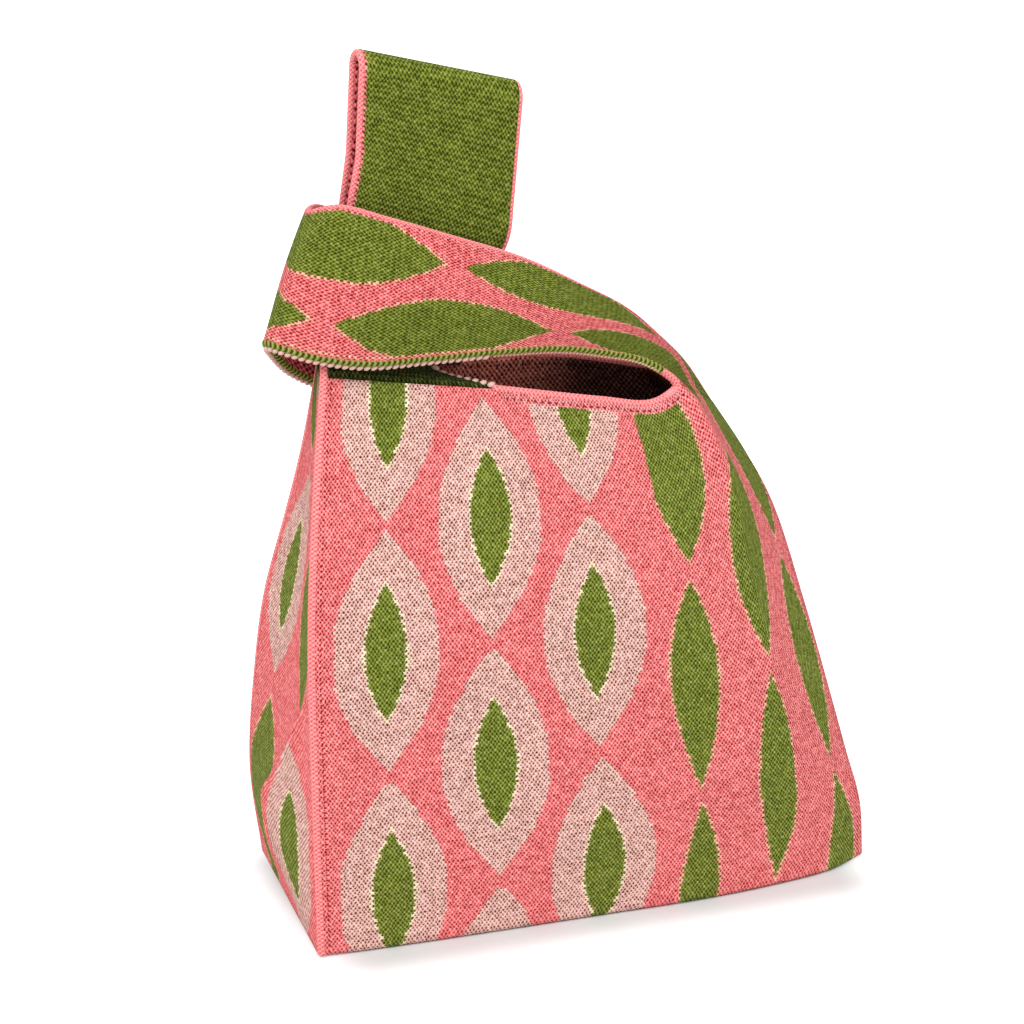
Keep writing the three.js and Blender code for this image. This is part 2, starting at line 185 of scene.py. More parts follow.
def spline(points, at):
    """Centripetal Catmull-Rom curve through points, at shares of the points passed, with straight ends."""
    points = np.asarray(points, float)
    padded = np.vstack([2 * points[0] - points[1], points, 2 * points[-1] - points[-2]])
    place = np.clip(at, 0, 1) * (len(points) - 1)
    index = np.minimum(place.astype(int), len(points) - 2)
    w = (place - index)[:, None]
    p0, p1, p2, p3 = (padded[index + k] for k in range(4))
    steps = (p1 - p0, p2 - p1, p3 - p2)
    d0, d1, d2 = (np.sqrt(np.linalg.norm(step, axis=1))[:, None] for step in steps)
    m1 = d1 * ((p1 - p0) / d0 - (p2 - p0) / (d0 + d1) + (p2 - p1) / d1)
    m2 = d1 * ((p2 - p1) / d1 - (p3 - p1) / (d1 + d2) + (p3 - p2) / d2)
    return p1 + w * m1 + w**2 * (3 * (p2 - p1) - 2 * m1 - m2) + w**3 * (2 * (p1 - p2) + m1 + m2)


def run_lengths(line):
    """Length of a polyline up to each of its points."""
    return np.concatenate([[0], np.cumsum(np.linalg.norm(np.diff(line, axis=0), axis=1))])


def along(line, at):
    """Points of a polyline at shares of its length."""
    reach = run_lengths(line)
    place = np.clip(at, 0, 1) * reach[-1]
    return np.stack([np.interp(place, reach, line[:, k]) for k in range(3)], axis=1)


def rail(points, count=192):
    """A smooth curve through points as an even polyline, measured on four times as many points."""
    fine = np.linspace(0, 1, 4 * count + 1)
    return along(spline(points, fine), np.linspace(0, 1, count + 1))


def shares(count, trim=0.0):
    """Even steps from 0 to 1, cut short by trim at both ends."""
    return np.linspace(trim, 1 - trim, count + 1)


# Rails of the body, in millimetres. Stops are shares of the base's half width, half depth and height. The
# back left foot corner is drawn in to a share of its distance. All feet start a little above the floor.

BOTTOM_STOPS = ((-1, 1), (-0.66, 1.05), (0, 1.1), (0.35, 1.12), (0.61, 1.07), (0.87, 0.94))
BOTTOM_RIGHT_DEPTH = 0.72
CORNER_IN = 0.975
LEFT_STOPS = {
    FRONT: ((1, 1, 0), (1.01, 1, 0.29), (1, 0.88, 0.57), (0.95, 0.65, 0.8), (0.878, 0.3, 0.99)),
    BACK: ((CORNER_IN, CORNER_IN, 0), (1, 1.1, 0.17), (0.978, 1.03, 0.39), (0.953, 0.9, 0.53),
           (0.9, 0.67, 0.69), (0.865, 0.42, 0.83), (0.838, 0.13, 1)),
}
RIGHT_STOPS = ((0, BOTTOM_RIGHT_DEPTH, 0), (0.05, 0.77, 0.13), (0.17, 0.78, 0.25), (0.28, 0.75, 0.37),
               (0.46, 0.62, 0.58), (0.64, 0.38, 0.79), (0.81, 0.25, 0.9))
FOOT = 0.6

# The lifted corner eases out from the left end to this share of the base's width off the middle.
RISE_START = 0.275

# Points of the mouth: across, depth from the middle, height against the side height, extra height behind.
SLOT = (41, 15.5, -19, 0)
LIP_LOW = (27, 20, -23, 6.5)
LIP_MID = (5, 22, -19, 6.5)
LIP_END = (-36, 20, -11, 2)
SHOULDER = (59, 3.5, -31, 0)
LIP_STEPS = 96


def floor_rise(x, y):
    """Lift of the base off the floor: full at the back left corner, fading to the right and the front."""
    b = body_sizes()
    left = smooth(-x, RISE_START * b.base_width, 0.5 * b.base_width)
    return b.corner_rise * left * smooth(y, -0.5 * b.base_depth, 0.5 * b.base_depth)


def mouth_point(stop, side):
    """A point of the mouth on one side."""
    x, y, z, extra = stop
    return np.array([x, side * y, body_sizes().side_height + z + (extra if side == BACK else 0)], float)


def bottom_rail(side):
    """A panel's lower edge on the floor, bowed outwards."""
    b = body_sizes()
    stops = np.array(BOTTOM_STOPS + ((1 + 2 * b.foot_spread / b.base_width, BOTTOM_RIGHT_DEPTH),))
    if side == BACK:
        stops[0] *= CORNER_IN
    x = stops[:, 0] * b.base_width / 2
    y = side * stops[:, 1] * b.base_depth / 2
    return rail(np.stack([x, y, FOOT + floor_rise(x, y)], axis=1))


def left_points(side):
    """Points of a panel's left edge, from the foot to the handle's root."""
    b = body_sizes()
    across, deep, high = np.array(LEFT_STOPS[side]).T
    x = -across * b.base_width / 2
    y = side * deep * b.base_depth / 2
    return np.stack([x, y, high * b.side_height + (1 - high) * (FOOT + floor_rise(x, y))], axis=1)


def left_rail(side):
    """A panel's left edge as a rail."""
    return rail(left_points(side))


def right_rail(side):
    """A panel's right edge, from the foot to the shoulder."""
    b = body_sizes()
    shoulder = mouth_point(SHOULDER, side)
    foot = b.base_width / 2 + b.foot_spread
    across, deep, high = np.array(RIGHT_STOPS).T
    x = foot + across * (shoulder[0] - foot)
    y = side * deep * b.base_depth / 2
    return rail(np.vstack([np.stack([x, y, FOOT + high * (shoulder[2] - FOOT)], axis=1), shoulder]))


def lip_rail(side):
    """The open lip, from the handle's root to the mouth's right end."""
    return rail([mouth_point(stop, side) for stop in (LIP_END, LIP_MID, LIP_LOW, SLOT)], LIP_STEPS)


def top_rail(side):
    """A panel's top: along the handle's root, along the open lip, then over the shoulder."""
    return np.vstack([left_points(side)[-1], lip_rail(side), mouth_point(SHOULDER, side)])


def slot_share(side):
    """Share of the panel's top rail at the mouth's right end."""
    shoulder = np.linalg.norm(mouth_point(SLOT, side) - mouth_point(SHOULDER, side))
    return 1 - shoulder / run_lengths(top_rail(side))[-1]


# Surfaces. Each gives a grid of points, first index along u and second along v.

# Soft waves in the panels: how many across and up, how far each slants, the margin where they die out, and
# where they start on each side.
WAVES_ACROSS = 2.4
WAVES_UP = 2.1
WAVE_SLANT = (0.6, 0.8)
WAVE_MARGIN = 0.15
WAVE_START = {FRONT: 0.1, BACK: 0.4}

# The ridge below the mouth's right end: its slant, its half width, and the heights where it comes and goes.
RIDGE_SLANT = 0.08
RIDGE_WIDTH = 0.028
RIDGE_FOOT = (0.6, 0.9)
RIDGE_TOP = (0.96, 1)

# Shares of the left side's height where its hollow comes and goes, and where its belly ends.
HOLLOW_FOOT = (0.2, 0.55)
HOLLOW_TOP = (0.75, 1)
BELLY_TOP = 0.3

# The fold on the left side: its rise from back to front, the power of its curve, its height at the back,
# how fast it falls off above and below, and where it fades at the front, the back and the foot.
CREASE_RISE = 0.46
CREASE_CURVE = 1.2
CREASE_END = 0.03
CREASE_ABOVE = 0.022
CREASE_BELOW = 0.13
CREASE_FRONT = (0, 0.25)
CREASE_BACK = (0.45, 0.85)
CREASE_FOOT = (0, 0.06)

# The right side ends at this share of its rails. Its top edge hangs this far along the slope of its cloth.
GUSSET_TOP = 0.86
GUSSET_SAG = 7
GUSSET_FALL = (-0.45, 0, 0.89)

# Distance from the lip that stands for no lip, and the shares across over which painted shade on the inside
# grows.
NO_LIP = 99.0
DEEP_REACH = (0.46, 0.70)


def coons(bottom, top, left, right, u, v):
    """Coons patch: both ruled surfaces between facing rails, less the bilinear one through the corners."""
    u, v = u[:, None, None], v[None, :, None]
    both = (1 - u) * left[None] + u * right[None] + (1 - v) * bottom[:, None] + v * top[:, None]
    low = (1 - u) * bottom[0] + u * bottom[-1]
    high = (1 - u) * top[0] + u * top[-1]
    return both - (1 - v) * low - v * high


def ruled(first, second, at):
    """Straight lines from each point of one rail to the same point of another, at shares of the way."""
    return first[:, None] + at[None, :, None] * (second - first)[:, None]


def normals(grid):
    """Unit normals of a grid from its central differences."""
    return unit(np.cross(np.gradient(grid, axis=0), np.gradient(grid, axis=1)))


def waves(u, v, start):
    """Two crossing sine waves that die out at the four edges, between -1 and 1."""
    u = u[:, None]
    fade = smooth(np.minimum(u, 1 - u), 0, WAVE_MARGIN) * smooth(np.minimum(v, 1 - v), 0, WAVE_MARGIN)
    across = np.sin(2 * np.pi * (WAVES_ACROSS * u + WAVE_SLANT[0] * v + start))
    return fade * 0.5 * (across + np.sin(2 * np.pi * (WAVES_UP * v - WAVE_SLANT[1] * u + 2 * start)))


def panel_surface(side, u, v):
    """Front or back panel: a Coons patch with soft waves, turned under at the bottom by a quarter circle.

    A ridge, a bell curve across, runs down from the mouth's right end and dies out below.
    """
    b = body_sizes()
    grid = coons(along(bottom_rail(side), u), along(top_rail(side), u),
                 along(left_rail(side), v), along(right_rail(side), v), u, v)
    turn = np.clip(1 - (grid[:, :, 2] - FOOT) / b.bottom_round, 0, 1)
    grid[:, :, 1] -= side * b.bottom_round * (1 - np.sqrt(1 - turn**2))
    off = u[:, None] - slot_share(side) - RIDGE_SLANT * (1 - v)
    fade = smooth(v, *RIDGE_FOOT) * (1 - smooth(v, *RIDGE_TOP))
    ridge = b.shoulder_ridge * np.exp(-((off / RIDGE_WIDTH) ** 2)) * fade
    lift = b.ripple * waves(u, v, WAVE_START[side]) + ridge
    return grid - side * normals(grid) * lift[:, :, None]


def panel_map(side, u, v):
    """Stitch coordinates of a panel in millimetres: the columns draw together towards the shoulder."""
    wide = body_sizes().base_width
    top = np.interp(u, (0, slot_share(side), 1), (0, wide - strap_sizes().band_width, wide))
    left, right = run_lengths(left_rail(side))[-1], run_lengths(right_rail(side))[-1]
    across = (1 - v) * (wide * u)[:, None] + v * top[:, None]
    return paired(across, v * (left + (right - left) * u)[:, None])


def panel_rim(side, u, v):
    """Distance below the open lip in millimetres, and far away beside the lip."""
    reach = run_lengths(top_rail(side))
    open_here = (u > reach[1] / reach[-1]) & (u < slot_share(side))
    return np.where(open_here[:, None], (1 - v) * run_lengths(left_rail(side))[-1], NO_LIP)


def panel_painted_shade(u, v):
    """Painted shade on a panel's inside: the share of its colour darkened, which grows to the right, away
    from the handle.
    """
    return DEEP_SHADE * np.broadcast_to(smooth(u, *DEEP_REACH)[:, None], (len(u), len(v)))


def left_gusset_surface(u, v):
    """Left side between its two rails: hollow half way up, swollen low down, with a slanting fold.

    The cloth stands out below the fold and falls back above it by an exponential.
    """
    b = body_sizes()
    grid = ruled(along(left_rail(FRONT), v), along(left_rail(BACK), v), u).swapaxes(0, 1)
    across = u[:, None]
    hollow = b.gusset_hollow * smooth(v, *HOLLOW_FOOT) * (1 - smooth(v, *HOLLOW_TOP))
    belly = b.gusset_belly * hump(np.minimum(v / BELLY_TOP, 1))
    fold = v - CREASE_RISE * (1 - across) ** CREASE_CURVE - CREASE_END
    ridge = b.crease_height * np.exp(-np.maximum(fold / CREASE_ABOVE, -fold / CREASE_BELOW))
    ridge *= smooth(across, *CREASE_FRONT) * (1 - smooth(across, *CREASE_BACK)) * smooth(v, *CREASE_FOOT)
    grid[:, :, 0] += (hollow - belly) * np.sin(np.pi * across) - ridge
    return grid


def right_gusset_surface(u, v):
    """Right side between its two rails, swollen at the foot, with its top edge hanging in a shallow bow."""
    front, back = (along(right_rail(side), GUSSET_TOP * v) for side in SIDES)
    grid = ruled(front, back, u).swapaxes(0, 1)
    bow = np.sin(np.pi * u[:, None])
    grid[:, :, 0] += body_sizes().gusset_bulge * bow * (1 - v)
    return grid - GUSSET_SAG * (bow * v**4)[:, :, None] * np.array(GUSSET_FALL)


def base_surface(u, v):
    """The bottom between the panels' bottom rails, half a cloth above the floor."""
    grid = ruled(along(bottom_rail(FRONT), u), along(bottom_rail(BACK), u), v)
    grid[:, :, 2] = body_sizes().cloth / 2 + floor_rise(grid[:, :, 0], grid[:, :, 1])
    return grid


# Long loop: stations from the shoulder to the left fold as share of the run, share of the rise, and depth.

BAND_UPPER = ((0, 0, 3.5), (0.073, 0.186, 3), (0.147, 0.315, 5), (0.245, 0.462, 10), (0.367, 0.585, 13),
              (0.52, 0.724, 15), (0.697, 0.84, 15.5), (0.844, 0.93, 14.5), (0.948, 0.985, 11),
              (0.988, 0.965, 5), (1, 0.945, 0))
BAND_LOWER = ((0, 0, 15.5), (0.05, 0.25, 16), (0.117, 0.46, 17), (0.2, 0.61, 18.5), (0.313, 0.75, 20),
              (0.466, 0.8, 20.5), (0.632, 0.8, 20), (0.804, 0.8, 18.5), (0.914, 0.9, 14), (0.982, 1, 7),
              (1, 1, 0))

# The left fold's ends, across and above the side height, and how far round behind each edge sags.
KNOT_TOP = (-101.5, 62.5)
KNOT_LOW = (-118.5, 10)
SAG_REACH_UPPER = 1
SAG_REACH_LOWER = 0.66

# The crown fades over this share of the run at both ends. At the fold it falls by a bell curve of this
# height and width.
CROWN_END = 0.08
FOLD_FLAT = 0.9
FOLD_WIDTH = 0.06


def band_rail(stations, start, end, sag, reach, spread, at):
    """One edge of the long loop: out along the front, round the fold, back behind with a sag."""
    run, rise, depth = np.array(stations, float).T
    first = mouth_point(start, FRONT)
    x = first[0] + run * (end[0] - first[0])
    z = first[2] + rise * (body_sizes().side_height + end[1] - first[2])
    drop = hump(np.minimum(np.arange(1, len(run)) / (reach * (len(run) - 1)), 1))
    front = np.stack([x, -depth, z], axis=1)
    back = np.stack([x[-2::-1], depth[-2::-1] + spread * drop, z[-2::-1] - sag * drop], axis=1)
    return spline(np.vstack([front, back]), at)


def band_upper(at):
    """The long loop's upper edge at shares of its stations."""
    return band_rail(BAND_UPPER, SHOULDER, KNOT_TOP, strap_sizes().sag_upper, SAG_REACH_UPPER, 0, at)


def band_lower(at):
    """The long loop's lower edge at shares of its stations."""
    s = strap_sizes()
    return band_rail(BAND_LOWER, SLOT, KNOT_LOW, s.sag_lower, SAG_REACH_LOWER, s.spread, at)


def band_surface(u, v):
    """The long loop: ruled between its edges and crowned by a sine, but flat at its ends and fold."""
    grid = ruled(band_lower(u), band_upper(u), v)
    fold = 1 - FOLD_FLAT * np.exp(-(((u - 0.5) / FOLD_WIDTH) ** 2))
    crown = strap_sizes().band_crown * smooth(np.minimum(u, 1 - u), 0, CROWN_END) * fold
    return grid - normals(grid) * (crown[:, None] * np.sin(np.pi * v))[:, :, None]


def band_map(u, v):
    """Stitch coordinates of the long loop: its columns carry on from the panel's right part."""
    across = body_sizes().base_width - strap_sizes().band_width * (1 - v)
    run = run_lengths(right_rail(FRONT))[-1] + run_lengths((band_lower(u) + band_upper(u)) / 2)
    return paired(across[None, :], run[:, None])


# Carry handle: where each edge crosses the hinge line, across and above the side height.

HINGE = {"left": (-84, 78), "right": (-24.7, 58)}

# The right edge of each root is first pinched this far across and up. Then come shares of the way up and of
# the spread between the layers at the points on both edges.
ROOT_PINCH = (-23, 0, 8)
LEFT_LOW = 0.12
LEFT_SPREAD = 0.6
INSIDE_RISE = 0.32
INSIDE_SPREAD = 0.3
ROOT_HIGH = 0.75
ROOT_STEPS = 96
FOLD_POINTS = 25

# The seams and the mouth's edges run this share of the way up the root, where the handle's edges go on.
ROOT_SHARE = 0.6

# Shares of the strap's length at its ends and hinge lines, and how far its ends are tucked in and down.
STRAP_STATIONS = (0, 0.3, 0.7, 1)
TUCK_IN = 1.0
TUCK_DOWN = 2.5


def handle_edge(name):
    """Hinge point, upward direction and height of one edge of the handle's loop."""
    s = strap_sizes()
    lean, high = (s.lean_left, s.loop_left) if name == "left" else (s.lean_right, s.loop_right)
    x, z = HINGE[name]
    reach = np.array([lean, 0, high])
    return np.array([x, 0, body_sizes().side_height + z]), unit(reach), np.linalg.norm(reach)


def root_points(name, side):
    """One edge of the handle's root, from the mouth up to the hinge line."""
    s = strap_sizes()
    end = handle_edge(name)[0] + (0, side * s.half_depth, 0)
    if name == "left":
        start = left_points(side)[-1]
        low = start + LEFT_LOW * (end - start)
        low[1] = side * (s.half_depth + LEFT_SPREAD * s.root_spread)
        middle = [low]
    else:
        start = mouth_point(LIP_END, side)
        pinched = start + ROOT_PINCH
        pinched[1] = side * (s.half_depth + s.root_spread)
        inside = pinched + INSIDE_RISE * (end - pinched)
        inside[1] = side * (s.half_depth + INSIDE_SPREAD * s.root_spread)
        middle = [pinched, inside]
    high = start + ROOT_HIGH * (end - start)
    high[1] = end[1]
    return np.array([start, *middle, high, end])


def lower_root(name, side):
    """The lower stretch of one edge of the handle's root, without its first point."""
    line = rail(root_points(name, side))
    return line[1:int(ROOT_SHARE * len(line))]


def strap_edge(name):
    """One edge of the carry strap: up the front root, over in a half circle, and down the back root."""
    half = strap_sizes().half_depth
    hinge, up, reach = handle_edge(name)
    turn = np.linspace(0, np.pi, FOLD_POINTS)[:, None]
    fold = hinge + up * (reach - half) + up * half * np.sin(turn) + np.array([0, -half, 0]) * np.cos(turn)
    front, back = (rail(root_points(name, side), ROOT_STEPS) for side in SIDES)
    return np.vstack([front[:-1], fold, back[::-1][1:]])


def strap_stations(name):
    """Shares of a strap edge's length at its ends, at the front hinge line and at the back one."""
    whole = run_lengths(strap_edge(name))[-1]
    front, back = (run_lengths(rail(root_points(name, side), ROOT_STEPS))[-1] for side in SIDES)
    return np.array([0, front, whole - back, whole]) / whole


def strap_surface(u, v):
    """The carry strap, ruled between its two edges with the hinge lines matched, its ends tucked in."""
    stations = {name: np.interp(u, STRAP_STATIONS, strap_stations(name)) for name in HINGE}
    left, right = (along(strap_edge(name), at) for name, at in stations.items())
    grid = ruled(left, right, v)
    for row, side in ((0, FRONT), (-1, BACK)):
        grid[row] += (0, -side * TUCK_IN, -TUCK_DOWN)
    return grid


# Meshes

def grid_faces(rows, columns, offset=0):
    """Quads of a grid of points, wound from the first index to the second."""
    corner = np.arange((rows - 1) * columns).reshape(rows - 1, columns)[:, :-1].ravel() + offset
    return np.stack([corner, corner + columns, corner + columns + 1, corner + 1], axis=1)


def tube_faces(rows, sides):
    """Quads between a tube's rings, and fans that close its ends at two tips, which follow the rings."""
    index = np.arange(rows * sides).reshape(rows, sides)
    after = np.roll(index, -1, axis=1)
    quads = np.stack([index[:-1], after[:-1], after[1:], index[1:]], axis=2).reshape(-1, 4)
    tips = np.full((2, sides), index.size) + [[0], [1]]
    first = np.stack([tips[0], after[0], index[0]], axis=1)
    last = np.stack([tips[1], index[-1], after[-1]], axis=1)
    return quads, np.concatenate([first, last])


def new_piece(name, points, faces, place, material, **attributes):
    """A smooth mesh at the origin from points in millimetres, with its stitch coordinates as a UV map."""
    mesh = bpy.data.meshes.new(name)
    mesh.from_pydata((points * MM).tolist(), [], faces)
    corners = np.empty(len(mesh.loops), int)
    mesh.loops.foreach_get("vertex_index", corners)
    mesh.uv_layers.new(name=KNIT_MAP).data.foreach_set("uv", place[corners].astype(np.float32).ravel())
    for key, values in attributes.items():
        layer = mesh.attributes.new(key, "FLOAT", "POINT")
        layer.data.foreach_set("value", values.astype(np.float32).ravel())
    mesh.shade_smooth()
    mesh.materials.append(finish(material))
    piece = bpy.data.objects.new(name, mesh)
    bpy.context.scene.collection.objects.link(piece)
    return piece


def cloth_piece(name, grid, place, outward, material, **attributes):
    """A closed cloth round a surface: layers half a thickness out and in, joined along the four edges.

    outward is 1 where the grid's own normals point out of the bag and -1 where they point in.
    """
    if outward < 0:
        grid, place = grid[::-1], place[::-1]
        attributes = {key: values[::-1] for key, values in attributes.items()}
    shift = normals(grid) * body_sizes().cloth / 2
    rows, columns = grid.shape[:2]
    count = rows * columns
    index = np.arange(count).reshape(rows, columns)
    rim = np.concatenate([index[:-1, 0], index[-1, :-1], index[:0:-1, -1], index[0, :0:-1]])
    after = np.roll(rim, -1)
    outer = grid_faces(rows, columns)
    inner = grid_faces(rows, columns, count)[:, ::-1]
    sides = np.stack([after, rim, rim + count, after + count], axis=1)
    points = np.concatenate([(grid + shift).reshape(-1, 3), (grid - shift).reshape(-1, 3)])
    both = {key: np.tile(values.ravel(), 2) for key, values in attributes.items()}
    both["inside"] = np.repeat([0.0, 1.0], count)
    faces = np.concatenate([outer, inner, sides]).tolist()
    return new_piece(name, points, faces, np.tile(place.reshape(-1, 2), (2, 1)), material, **both)


# How far a braid's stitches lag behind, in radians of the stitch for each radian round the roll.
BRAID_SLANT = 2.4


def knitted(run, turn, pitch):
    """Relief of a smooth knitted roll: staggered stitches, four round it."""
    return np.cos(2 * np.pi * run / pitch) * np.cos(4 * turn)


def braided(run, turn, pitch):
    """Relief of a braided roll: a chain of stitches that slant both ways from its outer side."""
    off = np.abs((turn - np.pi / 2) % (2 * np.pi) - np.pi)
    return np.cos(2 * np.pi * run / pitch - BRAID_SLANT * off)


# How an edge is rolled: relief, pitch of the stitches, how far they swell, sides, and steps per stitch.
Weave = namedtuple("Weave", "relief pitch swell sides steps")
PLAIN_ROLL = Weave(knitted, 1.7, 0.05, 14, 6)
BRAID = Weave(braided, 2.1, 0.1, 18, 8)

# A roll grows to its full radius between these distances from its ends, in stitches.
ROLL_TAPER = (-0.6, 0.5)


def roll_piece(name, line, radius, across, material="pink_roll", weave=PLAIN_ROLL):
    """A rolled edge: a round tube of radius R (1 + a f), with f its relief at each length and angle.

    across is a direction that the line never follows.
    """
    total = run_lengths(line)[-1]
    count = int(total / weave.pitch * weave.steps)
    path = along(line, shares(count))
    ahead = unit(np.gradient(path, axis=0))
    spoke = unit(np.array(across, float) - ahead * (ahead @ np.array(across, float))[:, None])
    other = np.cross(ahead, spoke)
    run = np.linspace(0, total, count + 1)[:, None]
    turn = np.linspace(0, 2 * np.pi, weave.sides, endpoint=False)[None, :]
    relief = weave.relief(run, turn, weave.pitch)
    low, high = (share * weave.pitch for share in ROLL_TAPER)
    reach = radius * (1 + weave.swell * relief) * smooth(np.minimum(run, total - run), low, high)
    ring = np.cos(turn)[:, :, None] * spoke[:, None] + np.sin(turn)[:, :, None] * other[:, None]
    points = np.vstack([(path[:, None] + reach[:, :, None] * ring).reshape(-1, 3), path[0], path[-1]])
    place = paired(radius * turn, run).reshape(-1, 2)
    place = np.vstack([place, place[:1], place[-1:]])
    relief = np.append(0.5 + 0.5 * relief.ravel(), (0.5, 0.5))
    quads, fans = tube_faces(count + 1, weave.sides)
    return new_piece(name, points, quads.tolist() + fans.tolist(), place, material, relief=relief)


# Small loops: how far they lean, their half sizes as shares of their length, and the steps along and round.
BEAD_LEAN = radians(35)
BEAD_SHAPE = (0.6, 0.36, 0.4)
BEAD_RINGS = 5
BEAD_SIDES = 8


def bead_piece(name, line, size, material):
    """A row of small loops along a line, each a lengthened ball that leans along the row."""
    count = int(run_lengths(line)[-1] / size)
    path = along(line, (np.arange(count) + 0.5) / count)
    ahead = unit(np.gradient(path, axis=0))
    up = unit(np.array([0, 0, 1]) - ahead * ahead[:, 2:])
    lean = np.cos(BEAD_LEAN) * ahead - np.sin(BEAD_LEAN) * up
    rise = np.cos(BEAD_LEAN) * up + np.sin(BEAD_LEAN) * ahead
    tilt = np.linspace(0, np.pi, BEAD_RINGS + 1)[1:-1, None]
    turn = np.linspace(0, 2 * np.pi, BEAD_SIDES, endpoint=False)[None, :]
    rings = np.broadcast_arrays(-np.cos(tilt), np.sin(tilt) * np.cos(turn), np.sin(tilt) * np.sin(turn))
    ball = np.vstack([np.stack(rings, axis=2).reshape(-1, 3), (-1, 0, 0), (1, 0, 0)])
    ball = ball * size * np.array(BEAD_SHAPE)
    axes = np.stack([lean, rise, np.cross(ahead, up)], axis=1)
    points = (path[:, None] + ball[None] @ axes).reshape(-1, 3)
    shift = (np.arange(count) * len(ball))[:, None, None]
    quads, fans = tube_faces(BEAD_RINGS - 1, BEAD_SIDES)
    faces = (quads + shift).reshape(-1, 4).tolist() + (fans + shift).reshape(-1, 3).tolist()
    place = np.tile(ball[:, [1, 0]], (count, 1))
    relief = 0.5 + 0.5 * np.sin(np.append(np.repeat(tilt.ravel(), BEAD_SIDES), (0, 0)))
    return new_piece(name, points, faces, place, material, relief=np.tile(relief, count))


# Finishes

SCREEN_GAMMA = 2.2


def linear(shown):
    """A screen colour as linear red, green, blue and alpha, by the usual power curve."""
    return (*(channel**SCREEN_GAMMA for channel in shown), 1.0)


def by_math(operation):
    """A method that puts a value through one math node."""
    return lambda value, *others: value.nodes.math(operation, value, *others)


class Value:
    """A node's output. Arithmetic on it adds math nodes to its tree."""

    def __init__(self, nodes, socket):
        self.nodes = nodes
        self.socket = socket

    def __rsub__(self, other):
        return self.nodes.math("SUBTRACT", other, self)

    def between(self, low, high):
        """1 between two limits, else 0."""
        return (self > low) * (self < high)

    __add__ = __radd__ = by_math("ADD")
    __mul__ = __rmul__ = by_math("MULTIPLY")
    __sub__ = by_math("SUBTRACT")
    __truediv__ = by_math("DIVIDE")
    __mod__ = by_math("FLOORED_MODULO")
    __gt__ = by_math("GREATER_THAN")
    __lt__ = by_math("LESS_THAN")
    floor = by_math("FLOOR")
    cosine = by_math("COSINE")
    absolute = by_math("ABSOLUTE")


class Nodes:
    """Adds shader nodes to a tree and links or sets their inputs."""

    def __init__(self, tree):
        self.tree = tree

    def feed(self, node, inputs):
        """Links a node's inputs to values or sets them to constants."""
        for key, value in inputs.items():
            if isinstance(value, Value):
                self.tree.links.new(value.socket, node.inputs[key])
            else:
                node.inputs[key].default_value = value

    def node(self, kind, inputs, **settings):
        """A new node's outputs, by number and by name."""
        node = self.tree.nodes.new(kind)
        for key, value in settings.items():
            setattr(node, key, value)
        self.feed(node, inputs)
        made = [Value(self, socket) for socket in node.outputs]
        return dict(enumerate(made)) | {value.socket.name: value for value in made}

    def math(self, operation, *values):
        return self.node("ShaderNodeMath", dict(enumerate(values)), operation=operation)[0]

    def vector(self, operation, *values):
        return self.node("ShaderNodeVectorMath", dict(enumerate(values)), operation=operation)[0]

    def scaled(self, vector, factor):
        return self.node("ShaderNodeVectorMath", {"Vector": vector, "Scale": factor}, operation="SCALE")[0]

    def mix(self, factor, first, second):
        return self.node("ShaderNodeMix", {0: factor, 6: first, 7: second}, data_type="RGBA")[2]

    def ramp(self, value, limits, ends=(0.0, 1.0), kind="LINEAR"):
        """A value carried over from one range to another."""
        inputs = dict(enumerate((value, *limits, *ends)))
        return self.node("ShaderNodeMapRange", inputs, interpolation_type=kind)[0]

    def gamma(self, tint, power):
        return self.node("ShaderNodeGamma", {"Color": tint, "Gamma": power})[0]

    def noise(self, place, scale, detail=2.0):
        return self.node("ShaderNodeTexNoise", {"Vector": place, "Scale": scale, "Detail": detail})

    def split(self, vector):
        return self.node("ShaderNodeSeparateXYZ", {0: vector})

    def stored(self, name):
        """A value stored on the piece's points."""
        return self.node("ShaderNodeAttribute", {}, attribute_name=name)["Fac"]

    def knit_place(self):
        """The piece's stitch coordinates in millimetres."""
        return self.node("ShaderNodeUVMap", {}, uv_map=KNIT_MAP)[0]

    def place(self, name, inputs):
        """A shared node group's outputs, with its inputs linked or set."""
        return self.node("ShaderNodeGroup", inputs, node_tree=bpy.data.node_groups[name])


def new_group(name, inputs, outputs):
    """An empty shader node group: its nodes, its inputs by name and its output node."""
    tree = bpy.data.node_groups.new(name, "ShaderNodeTree")
    for way, sockets in (("INPUT", inputs), ("OUTPUT", outputs)):
        for label, kind in sockets.items():
            tree.interface.new_socket(name=label, in_out=way, socket_type="NodeSocket" + kind)
    nodes = Nodes(tree)
    return nodes, nodes.node("NodeGroupInput", {}), tree.nodes.new("NodeGroupOutput")


# Scale of the stitches' wander per millimetre and its reach in millimetres, slow and quick.
STITCH_WANDER = ((0.3, 1.0), (1.0, 0.75))


